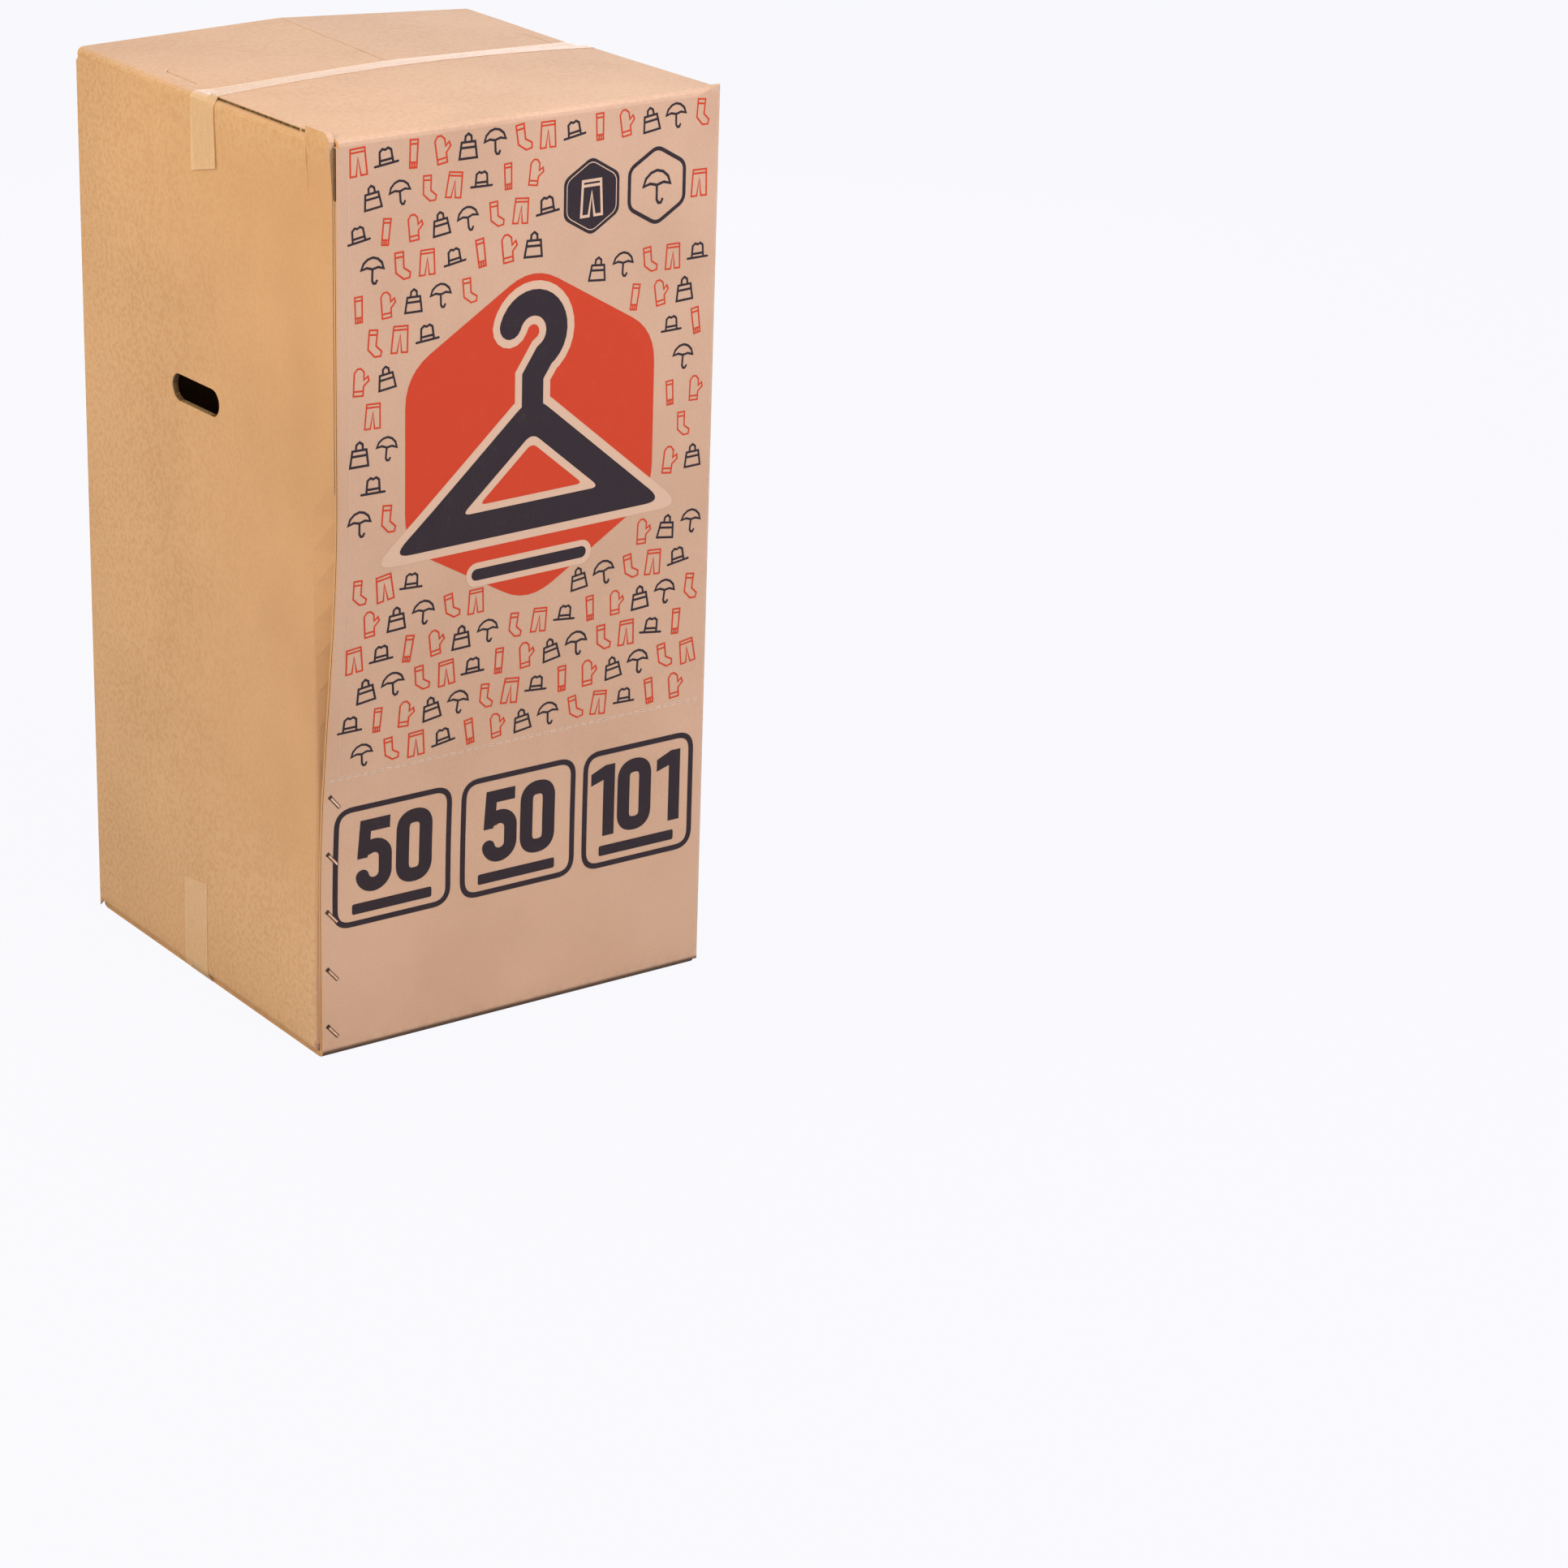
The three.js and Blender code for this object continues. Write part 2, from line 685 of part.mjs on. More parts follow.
addPart('carton', geometryOf(carton), '#d3a67c', 0.85);
addPart('top_tape', geometryOf(topTape), '#e8c69a', 0.3);
addPart('bottom_tape', geometryOf(bottomTape), '#e8c69a', 0.3);
stapleHeights.forEach((z, k) => {
  addPart(`staple_${k + 1}`, stapleGeometry(z), '#c98f6b', 0.35, 1);
});
addPart('clothes_rail', railGeometry(), '#b9bcc0', 0.35, 1);

export default group;
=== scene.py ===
"""Wardrobe moving carton: board, print, tapes, staples and studio for its looks."""

import logging
import math
import random
from dataclasses import dataclass
from enum import Enum
from typing import Callable, ClassVar, Sequence

import bmesh
import bpy
import numpy as np
from mathutils import Matrix, Vector
from mathutils.geometry import tessellate_polygon


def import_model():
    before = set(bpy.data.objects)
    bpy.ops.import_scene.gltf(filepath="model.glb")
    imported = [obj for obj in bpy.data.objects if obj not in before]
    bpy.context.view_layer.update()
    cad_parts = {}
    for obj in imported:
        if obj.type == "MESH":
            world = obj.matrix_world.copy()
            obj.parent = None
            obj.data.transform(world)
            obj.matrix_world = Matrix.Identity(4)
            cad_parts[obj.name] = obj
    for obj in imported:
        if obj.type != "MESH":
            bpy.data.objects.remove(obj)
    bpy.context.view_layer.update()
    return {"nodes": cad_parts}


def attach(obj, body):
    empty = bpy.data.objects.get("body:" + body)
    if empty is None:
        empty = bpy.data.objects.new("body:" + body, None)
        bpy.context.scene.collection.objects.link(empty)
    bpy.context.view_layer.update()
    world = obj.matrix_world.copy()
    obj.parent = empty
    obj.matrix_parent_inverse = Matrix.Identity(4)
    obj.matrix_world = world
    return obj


logging.basicConfig(level=logging.INFO, format="%(name)s: %(message)s")
log = logging.getLogger("carton")

Colour = tuple[float, float, float]
Flat = tuple[float, float]

# MM is in metres and STAPLE_TURN in degrees; all the others are millimetres of the carton
MM = 0.001
SHIFT_Y = 20.0
BOARD = 6.5
HALF = 250.0
CREASE = 1005.0
FREE_EDGE = -243.0
FRONT_RIGHT = 245.0
TAB_REACH = 40.0
SPRING_LOW = 170.0
SPRING_HIGH = 640.0
LEAN = 6.5
LEAN_LOST = 3.5
PINCHED = 3.6
PERFORATION = 321.5
PRINT_MIDDLE = 3.0
STAPLE_X = -230.0
STAPLE_HEIGHTS = (295.0, 228.4, 161.8, 95.2, 28.6)
STAPLE_TURN = 49.0


def place(x: float, y: float, z: float) -> Vector:
    """Turn carton millimetres into metres of the shared frame.

    Args:
        x: Millimetres from the middle, towards the right wall.
        y: Millimetres from the middle of the wall square, towards the back.
        z: Millimetres above the floor.

    Returns:
        The point in metres.
    """
    return Vector((x * MM, (y + SHIFT_Y) * MM, z * MM))


def smooth(value: float, low: float, high: float) -> float:
    """Ease from 0 at low to 1 at high.

    Args:
        value: The number to ease.
        low: Where the result starts to rise.
        high: Where the result reaches 1.

    Returns:
        The eased share.
    """
    share = min(max((value - low) / (high - low), 0.0), 1.0)
    return share * share * (3.0 - 2.0 * share)


class FrontPanel:
    """The sprung outer face of the front, which the print follows."""

    BOTTOM = 15.0
    TOP = 997.2
    LEVELS = (
        [0.0, 0.07]
        + [(SPRING_LOW + (SPRING_HIGH - SPRING_LOW) * k / 12) / CREASE for k in range(13)]
        + [0.8, 0.94, 0.965, 0.985, 1.0]
    )

    def __init__(self) -> None:
        self.heights = [self.BOTTOM + (self.TOP - self.BOTTOM) * level for level in self.LEVELS]
        self.reaches = [
            TAB_REACH * smooth(self.BOTTOM + (CREASE - self.BOTTOM) * level, SPRING_LOW, SPRING_HIGH)
            for level in self.LEVELS
        ]

    def y(self, x: float, z: float) -> float:
        """Find the face at a point.

        Args:
            x: Millimetres across the panel.
            z: Millimetres above the floor.

        Returns:
            The face's y in millimetres.
        """
        share = min(max((FRONT_RIGHT - x) / (FRONT_RIGHT - FREE_EDGE), 0.0), 1.0)
        return -HALF - float(np.interp(z, self.heights, self.reaches)) * share


FRONT = FrontPanel()


def left_x(y: float, z: float) -> float:
    """Find the outer face of the left wall.

    Args:
        y: Millimetres along the wall.
        z: Millimetres above the floor.

    Returns:
        The face's x in millimetres.
    """
    lean = LEAN * smooth(z, 30, 305) - LEAN_LOST * smooth(z, 950, 1000)
    return -HALF + lean * min(max((HALF - y) / (2 * HALF), 0.0), 1.0)


class Sock:
    """A shader value that node maths can be written with."""

    def __init__(self, shade: "Shade", socket: bpy.types.NodeSocket) -> None:
        self.shade = shade
        self.socket = socket

    def __add__(self, other: "Sock | float") -> "Sock":
        return self.shade.math("ADD", self, other)

    def __mul__(self, other: "Sock | float") -> "Sock":
        return self.shade.math("MULTIPLY", self, other)

    def __sub__(self, other: "Sock | float") -> "Sock":
        return self.shade.math("SUBTRACT", self, other)

    def __rsub__(self, other: "Sock | float") -> "Sock":
        return self.shade.math("SUBTRACT", other, self)

    def __abs__(self) -> "Sock":
        return self.shade.math("ABSOLUTE", self)

    def sine(self) -> "Sock":
        """Take the sine of the value."""
        return self.shade.math("SINE", self)

    def ease(self, low: float, high: float) -> "Sock":
        """Ease from 0 at low to 1 at high.

        Args:
            low: Where the result starts to rise.
            high: Where it reaches 1.

        Returns:
            The eased value.
        """
        feeds = {"Value": self, "From Min": low, "From Max": high}
        return self.shade.call("ShaderNodeMapRange", feeds, "Result", interpolation_type="SMOOTHSTEP")


class Shade:
    """Builds one material's node tree."""

    def __init__(self, name: str) -> None:
        self.material = bpy.data.materials.new(name)
        self.material.use_nodes = True
        self.tree = self.material.node_tree
        self.tree.nodes.clear()
        self.out = self.node("ShaderNodeOutputMaterial")

    def node(self, kind: str, **settings: object) -> bpy.types.Node:
        """Add a node.

        Args:
            kind: The node's type.
            **settings: Properties to set on it.

        Returns:
            The node.
        """
        made = self.tree.nodes.new(kind)
        for key, value in settings.items():
            setattr(made, key, value)
        return made

    def feed(self, socket: bpy.types.NodeSocket, value: "Sock | float | Sequence[float]") -> None:
        """Link or set an input.

        Args:
            socket: The input.
            value: Another node's value, a number or a colour.
        """
        if isinstance(value, Sock):
            self.tree.links.new(value.socket, socket)
        elif isinstance(value, (int, float)):
            socket.default_value = value
        elif len(value) == 3 and len(socket.default_value) == 4:
            socket.default_value = (*value, 1.0)
        else:
            socket.default_value = value

    def call(
        self, kind: str, feeds: dict[int | str, "Sock | float | Sequence[float]"], result: int | str = 0,
        **settings: object,
    ) -> Sock:
        """Add a node, fill in its inputs and take one of its results.

        Args:
            kind: The node's type.
            feeds: Values for its inputs, by number or name.
            result: The output to take.
            **settings: Properties to set on it.

        Returns:
            The result.
        """
        made = self.node(kind, **settings)
        for key, value in feeds.items():
            self.feed(made.inputs[key], value)
        return Sock(self, made.outputs[result])

    def math(self, operation: str, *values: "Sock | float") -> Sock:
        """Add a Math node.

        Args:
            operation: Its operation.
            *values: Its inputs.

        Returns:
            The result.
        """
        return self.call("ShaderNodeMath", dict(enumerate(values)), operation=operation)

    def position(self) -> Sock:
        """Give the object coordinates, which are metres of the frame."""
        return self.call("ShaderNodeTexCoord", {}, "Object")

    def normal(self) -> Sock:
        """Give the surface normal."""
        return self.call("ShaderNodeNewGeometry", {}, "Normal")

    def split(self, vector: Sock) -> tuple[Sock, Sock, Sock]:
        """Separate a vector.

        Args:
            vector: The vector.

        Returns:
            Its three parts.
        """
        made = self.node("ShaderNodeSeparateXYZ")
        self.feed(made.inputs[0], vector)
        return tuple(Sock(self, output) for output in made.outputs)

    def stretch(self, vector: Sock, scale: Sequence[float]) -> Sock:
        """Scale a vector along its axes.

        Args:
            vector: The vector.
            scale: Factor along each axis.

        Returns:
            The scaled vector.
        """
        return self.call("ShaderNodeVectorMath", {0: vector, 1: scale}, operation="MULTIPLY")

    def noise(self, vector: Sock, scale: float, detail: float = 3.0, rough: float = 0.55) -> Sock:
        """Add a noise texture.

        Args:
            vector: Where it is read.
            scale: Grains per metre.
            detail: Octaves.
            rough: Weight of the finer octaves.

        Returns:
            The noise, about 0.5.
        """
        feeds = {"Vector": vector, "Scale": scale, "Detail": detail, "Roughness": rough}
        return self.call("ShaderNodeTexNoise", feeds)

    def mix(self, factor: "Sock | float", first: "Sock | Colour", second: "Sock | Colour") -> Sock:
        """Blend two colours.

        Args:
            factor: Share of the second.
            first: A colour.
            second: Another colour.

        Returns:
            The blend.
        """
        return self.call("ShaderNodeMix", {0: factor, 6: first, 7: second}, 2, data_type="RGBA")

    def bump(self, height: Sock, strength: float, distance: float) -> Sock:
        """Turn a height into a normal.

        Args:
            height: The height, 0 to 1.
            strength: How far the normal turns.
            distance: Metres that height 1 stands for.

        Returns:
            The normal.
        """
        feeds = {"Height": height, "Strength": strength, "Distance": distance}
        return self.call("ShaderNodeBump", feeds)

    def surface(self, **inputs: "Sock | float | Sequence[float]") -> bpy.types.Node:
        """Add the main shader and wire it to the output.

        Args:
            **inputs: Its inputs, with underscores for spaces.

        Returns:
            The shader node.
        """
        made = self.node("ShaderNodeBsdfPrincipled")
        for key, value in inputs.items():
            self.feed(made.inputs[key.replace("_", " ")], value)
        self.tree.links.new(made.outputs[0], self.out.inputs[0])
        return made


@dataclass(frozen=True)
class KraftFinish:
    """Brown board: liner colours and how strongly its flutes show."""

    FLUTE_PITCH: ClassVar[float] = 0.0076
    # pale fold colour: partly wear, partly a painted highlight on the rounded folds
    WEAR_AND_HIGHLIGHT: ClassVar[Colour] = (0.93, 0.80, 0.64)

    name: str
    light: Colour
    dark: Colour
    flute: float = 0.5

    def darker(self, share: float) -> Colour:
        """Give the darker liner colour, dimmed.

        Args:
            share: How much of it is left.

        Returns:
            The colour.
        """
        return tuple(share * c for c in self.dark)

    def make(self) -> bpy.types.Material:
        """Build the material.

        Returns:
            The board material.
        """
        shade = Shade(self.name)
        point = shade.position()
        x, y, z = shade.split(point)
        nx, ny, nz = shade.split(shade.normal())
        # flute lines run up the walls and outwards on each top flap
        sideways = abs(nx).ease(0.45, 0.6)
        free_edge = (x + 0.003) * 0.082
        side_flap = nz.ease(0.5, 0.7) * (y - free_edge).ease(-0.001, 0.001)
        along = shade.math("MAXIMUM", sideways, side_flap)
        stripe = x * (1.0 - along) + y * along
        washboard = (stripe * (2 * math.pi / self.FLUTE_PITCH)).sine() * 0.5 + 0.5
        # grain of the liner
        blotch = shade.noise(point, 7.0, 4.0)
        cloud = shade.noise(shade.stretch(point, (1.0, 1.0, 0.7)), 170.0, 4.0, 0.65)
        fibre = shade.noise(shade.stretch(point, (1.0, 1.0, 0.3)), 1500.0, 3.0, 0.75)
        speck = shade.noise(point, 950.0, 2.0, 0.6).ease(0.66, 0.74)
        tone = blotch * 0.36 + cloud * 0.05 + fibre * 0.59
        base = shade.mix(tone.ease(0.32, 0.68), self.dark, self.light)
        base = shade.mix(washboard * (0.055 * self.flute), base, self.dark)
        base = shade.mix(speck * 0.35, base, self.darker(0.55))
        # pale wear with a painted highlight on the folds, dirt near the floor, and painted shadow on the
        # fold under the front
        corner = shade.math("MAXIMUM", abs(x).ease(0.2425, 0.2495), z.ease(0.995, 1.003) * 0.6)
        wear_and_highlight = corner * shade.noise(point, 180.0, 3.0).ease(0.35, 0.6)
        base = shade.mix(wear_and_highlight * 0.22, base, self.WEAR_AND_HIGHLIGHT)
        scuff = z.ease(0.03, 0.0) * shade.noise(point, 90.0, 4.0).ease(0.4, 0.65)
        base = shade.mix(scuff * 0.25, base, self.darker(0.6))
        # painted shadow: darkens the bottom fold that faces the floor, where contact shade falls
        fold_shadow = z.ease(0.010, 0.005) * (0.0 - ny).ease(0.1, 0.35)
        base = shade.mix(fold_shadow * 0.9, base, self.darker(0.12))
        height = fibre * 0.30 + cloud * 0.02 + washboard * 0.45 * self.flute
        shade.surface(
            Base_Color=base,
            Roughness=blotch * 0.14 + 0.72,
            Specular_IOR_Level=0.28,
            Normal=shade.bump(height, 0.12, 0.0005),
        )
        return shade.material


@dataclass(frozen=True)
class InkFinish:
    """Flexo ink on board, slightly mottled where the liner shows through."""

    name: str
    colour: Colour
    paper: Colour
    wear: float = 0.12

    def make(self) -> bpy.types.Material:
        """Build the material.

        Returns:
            The ink material.
        """
        shade = Shade(self.name)
        point = shade.position()
        fibre = shade.noise(shade.stretch(point, (1.0, 1.0, 0.3)), 1400.0, 3.0, 0.75)
        cloud = shade.noise(point, 45.0, 4.0, 0.7)
        missing = (fibre * 0.7 + cloud * 0.3).ease(0.56, 0.74)
        base = shade.mix(missing * self.wear * 2.2, self.colour, self.paper)
        base = shade.mix(cloud * 0.10, base, tuple(min(1.0, 1.25 * c + 0.01) for c in self.colour))
        shade.surface(
            Base_Color=base,
            Roughness=fibre * 0.2 + 0.58,
            Specular_IOR_Level=0.3,
            Normal=shade.bump(fibre, 0.2, 0.0004),
        )
        return shade.material


@dataclass(frozen=True)
class TapeFinish:
    """Clear packing film, drawn as a thin glossy layer over the board."""

    name: str
    colour: Colour
    cover: float

    def make(self) -> bpy.types.Material:
        """Build the material.

        Returns:
            The film material.
        """
        shade = Shade(self.name)
        point = shade.position()
        streak = shade.noise(shade.stretch(point, (1.0, 9.0, 1.0)), 40.0, 4.0, 0.6)
        bubble = shade.noise(point, 260.0, 3.0, 0.6).ease(0.55, 0.7)
        tint = shade.mix(streak, self.colour, tuple(min(1.0, 1.12 * c) for c in self.colour))
        shade.surface(
            Base_Color=tint,
            Roughness=streak * 0.22 + 0.22,
            Specular_IOR_Level=0.5,
            Alpha=streak * 0.22 + bubble * 0.12 + (self.cover - 0.14),
            Normal=shade.bump(streak * 0.6 + bubble * 0.4, 0.22, 0.0006),
        )
        return shade.material


@dataclass(frozen=True)
class MetalFinish:
    """Drawn wire or tube with fine lengthwise scratches."""

    name: str
    colour: Colour
    dark: Colour
    roughness: float
    grain: tuple[float, float, float]

    def make(self) -> bpy.types.Material:
        """Build the material.

        Returns:
            The metal material.
        """
        shade = Shade(self.name)
        point = shade.position()
        scratch = shade.noise(shade.stretch(point, self.grain), 1800.0, 3.0, 0.7)
        stain = shade.noise(point, 140.0, 4.0, 0.65)
        shade.surface(
            Base_Color=shade.mix(stain.ease(0.4, 0.7), self.colour, self.dark),
            Metallic=1.0,
            Roughness=scratch * 0.25 + (self.roughness - 0.1),
            Normal=shade.bump(scratch, 0.25, 0.0002),
        )
        return shade.material


class Palette:
    """Every finish of the carton, made once."""

    KRAFT = (0.70, 0.475, 0.33)

    def __init__(self) -> None:
        self.board = KraftFinish("board", (0.725, 0.49, 0.345), (0.60, 0.39, 0.262)).make()
        self.liner = KraftFinish("liner_edge", (0.80, 0.60, 0.43), (0.62, 0.43, 0.29), 0.0).make()
        # painted shade: a dark colour for the shaded cavities between the liners
        self.hollow_shade = KraftFinish("flute_hollow", (0.24, 0.15, 0.09), (0.13, 0.08, 0.05), 0.0).make()
        # painted shade: a near-black colour for narrow gaps and the shade round the staples
        self.gap = KraftFinish("dark_gap", (0.075, 0.048, 0.034), (0.04, 0.026, 0.019), 0.0).make()
        self.pale = KraftFinish("torn_fibre", (0.96, 0.78, 0.64), (0.88, 0.69, 0.56), 0.0).make()
        self.charcoal = InkFinish("ink_charcoal", (0.028, 0.019, 0.027), self.KRAFT, 0.06).make()
        self.red = InkFinish("ink_orange_red", (0.64, 0.056, 0.018), self.KRAFT, 0.08).make()
        self.bare = InkFinish("unprinted_board", (0.74, 0.515, 0.37), self.KRAFT, 0.3).make()
        self.tape = TapeFinish("packing_film", (1.0, 0.77, 0.62), 0.50).make()
        self.copper = MetalFinish(
            "copper_wire", (1.0, 0.76, 0.62), (0.90, 0.56, 0.42), 0.34, (1.0, 1.0, 0.2)
        ).make()
        self.steel = MetalFinish(
            "steel_tube", (0.72, 0.72, 0.73), (0.55, 0.55, 0.57), 0.34, (0.1, 1.0, 1.0)
        ).make()


def put(name: str, data: bpy.types.ID) -> bpy.types.Object:
    """Put an object into the scene.

    Args:
        name: Its name.
        data: Its mesh, light or camera.

    Returns:
        The object.
    """
    made = bpy.data.objects.new(name, data)
    bpy.context.scene.collection.objects.link(made)
    return made


def add_object(
    name: str, mesh: bpy.types.Mesh, material: bpy.types.Material
) -> None:
    """Put a finished piece of the carton into the scene.

    Args:
        name: The piece's name.
        mesh: Its mesh, in metres of the frame.
        material: Its finish.
    """
    mesh.materials.clear()
    mesh.materials.append(material)
    made = put(name, mesh)
    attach(made, "root")
    log.info("%s: %d faces", name, len(mesh.polygons))


class Ink:
    """Collects flat printed shapes of one colour, in millimetres of the front panel."""

    HAIR = 0.006
    LAYERS = 8
    MITRE = 0.55
    TINY = 1e-6

    def __init__(self, name: str, lift: float) -> None:
        self.name = name
        self.lift = lift
        self.level = 0
        self.levels: list[int] = []
        self.points: list[Flat] = []
        self.faces: list[tuple[int, ...]] = []

    def fill(self, outline: Sequence[Flat], own_level: bool = True) -> None:
        """Add a filled outline.

        Args:
            outline: Its corners in order.
            own_level: Whether the next shape lies a hair in front of it.
        """
        start = len(self.points)
        self.points += list(outline)
        self.levels += [self.level] * len(outline)
        if own_level:
            self.level = (self.level + 1) % self.LAYERS
        for face in tessellate_polygon([[Vector((x, z, 0.0)) for x, z in outline]]):
            self.faces.append(tuple(start + k for k in face))

    def stroke(self, line: Sequence[Flat], width: float, closed: bool = False) -> None:
        """Add a line with mitred joints and round ends.

        Args:
            line: Its points in order.
            width: How wide it is.
            closed: Whether it ends where it starts.
        """
        points = [Vector(point) for point in line]
        if closed or (points[0] - points[-1]).length < self.TINY:
            closed = True
            points = [p for k, p in enumerate(points) if (p - points[k - 1]).length > self.TINY]
        count = len(points)
        half = width / 2
        start = len(self.points)
        for k, point in enumerate(points):
            before = point - points[k - 1] if closed or k else points[1] - point
            after = points[(k + 1) % count] - point if closed or k + 1 < count else before
            before, after = before.normalized(), after.normalized()
            middle = (before + after).normalized() if (before + after).length > 1e-3 else before
            reach = half / max(middle.dot(before), self.MITRE)
            offset = Vector((-middle.y, middle.x)) * reach
            self.points += [tuple(point + offset), tuple(point - offset)]
        for k in range(count if closed else count - 1):
            a, b = start + 2 * k, start + 2 * ((k + 1) % count)
            self.faces.append((a, a + 1, b + 1, b))
        self.levels += [self.level] * (2 * count)
        if not closed:
            for end, towards in ((points[0], points[0] - points[1]), (points[-1], points[-1] - points[-2])):
                first = math.atan2(towards.y, towards.x) - math.pi / 2
                turns = [first + math.pi * k / 8 for k in range(9)]
                self.fill([(end.x + half * math.cos(t), end.y + half * math.sin(t)) for t in turns], False)
        self.level = (self.level + 1) % self.LAYERS

    def mesh(self) -> bpy.types.Mesh:
        """Make the flat mesh in the XZ plane, in metres, with y as extra lift.

        Returns:
            The mesh.
        """
        mesh = bpy.data.meshes.new(self.name)
        corners = [
            (x * MM, level * self.HAIR * MM, z * MM) for (x, z), level in zip(self.points, self.levels)
        ]
        mesh.from_pydata(corners, [], self.faces)
        return mesh

    def build(self, material: bpy.types.Material) -> None:
        """Lay the shapes on the front panel.

        Args:
            material: The ink.
        """
        mesh = self.mesh()
        lay_on_front(mesh, self.lift)
        add_object(self.name, mesh, material)


def lay_on_front(mesh: bpy.types.Mesh, lift: float) -> None:
    """Bend a flat mesh onto the front panel, cut where the panel's curve is.

    Args:
        mesh: A mesh in the XZ plane, in metres.
        lift: Millimetres in front of the board.
    """
    shape = bmesh.new()
    shape.from_mesh(mesh)
    cuts = [((0, 0, height * MM), (0, 0, 1)) for height in FRONT.heights[1:-1]]
    cuts += [((x * MM, 0, 0), (1, 0, 0)) for x in np.linspace(FREE_EDGE, FRONT_RIGHT, 17)[1:-1]]
    for point, normal in cuts:
        everything = shape.verts[:] + shape.edges[:] + shape.faces[:]
        bmesh.ops.bisect_plane(shape, geom=everything, plane_co=point, plane_no=normal)
    for vertex in shape.verts:
        x, z = vertex.co.x / MM, vertex.co.z / MM
        vertex.co = place(x, FRONT.y(x, z) - lift - vertex.co.y / MM, z)
    for face in shape.faces:
        face.normal_update()
        if face.normal.y > 0:
            face.normal_flip()
    shape.to_mesh(mesh)
    shape.free()


def rounded(corners: Sequence[Flat], radius: float, steps: int = 6) -> list[Flat]:
    """Round a polygon's corners.

    Args:
        corners: The sharp corners in order.
        radius: How far along each side the rounding starts.
        steps: Pieces per corner.

    Returns:
        The rounded outline.
    """
    result: list[Flat] = []
    count = len(corners)
    for k, corner in enumerate(corners):
        here = Vector(corner)
        before = Vector(corners[k - 1]) - here
        after = Vector(corners[(k + 1) % count]) - here
        start = here + before.normalized() * radius
        end = here + after.normalized() * radius
        for step in range(steps + 1):
            t = step / steps
            point = start * (1 - t) ** 2 + here * 2 * t * (1 - t) + end * t * t
            result.append((point.x, point.y))
    return result


def hexagon(x: float, z: float, half_width: float, half_height: float, radius: float) -> list[Flat]:
    """Give a hexagon that stands on a corner.

    Args:
        x: Its middle, across.
        z: Its middle, up.
        half_width: Half its width.
        half_height: Half its height.
        radius: Rounding of its corners.

    Returns:
        The outline.
    """
    half = half_height / 2
    corners = [
        (x, z + half_height), (x - half_width, z + half), (x - half_width, z - half),
        (x, z - half_height), (x + half_width, z - half), (x + half_width, z + half),
    ]
    return rounded(corners, radius)


class Motif(Enum):
    """Small line drawings of the repeated print: lines in a square of side 2."""

    TROUSERS = (
        ((-0.62, 0.95), (0.62, 0.95), (0.72, -1.0), (0.2, -1.0), (0.0, 0.3), (-0.2, -1.0), (-0.72, -1.0),
         (-0.62, 0.95)),
        ((-0.62, 0.68), (0.62, 0.68)),
    )
    UMBRELLA = (
        ((-0.95, 0.12), (-0.78, 0.55), (-0.42, 0.84), (0.0, 0.95), (0.42, 0.84), (0.78, 0.55), (0.95, 0.12),
         (0.48, 0.24), (0.0, 0.12), (-0.48, 0.24), (-0.95, 0.12)),
        ((0.0, 0.12), (0.0, -0.7), (0.12, -0.9), (0.3, -0.9), (0.4, -0.72)),
    )
    MITTEN = (
        ((-0.42, -1.0), (0.42, -1.0), (0.42, -0.3), (0.86, 0.1), (0.76, 0.42), (0.42, 0.18), (0.4, 0.72),
         (0.12, 1.0), (-0.2, 1.0), (-0.46, 0.7), (-0.42, -1.0)),
        ((-0.42, -0.66), (0.42, -0.66)),
    )
    HAT = (
        ((-1.0, -0.45), (1.0, -0.45)),
        ((-0.58, -0.45), (-0.5, 0.5), (-0.25, 0.68), (0.0, 0.58), (0.25, 0.68), (0.5, 0.5), (0.58, -0.45)),
        ((-0.56, -0.14), (0.56, -0.14)),
    )
    SOCK = (
        ((-0.4, 1.0), (0.32, 1.0), (0.32, -0.15), (0.86, -0.55), (0.8, -0.92), (0.28, -0.96), (-0.36, -0.42),
         (-0.4, 1.0)),
        ((-0.4, 0.66), (0.32, 0.66)),
    )
    BAG = (
        ((-0.78, -0.9), (0.78, -0.9), (0.6, 0.28), (-0.6, 0.28), (-0.78, -0.9)),
        ((-0.3, 0.28), (-0.26, 0.7), (0.0, 0.88), (0.26, 0.7), (0.3, 0.28)),
        ((-0.66, -0.12), (0.66, -0.12)),
    )
    SCARF = (
        ((-0.34, 1.0), (-0.3, -1.0), (0.3, -1.0), (0.34, 1.0), (-0.34, 1.0)),
        ((-0.32, -0.62), (0.31, -0.62)),
        ((-0.1, -0.62), (-0.1, -1.0)),
        ((0.1, -0.62), (0.1, -1.0)),
        ((-0.34, 0.7), (0.34, 0.7)),
    )


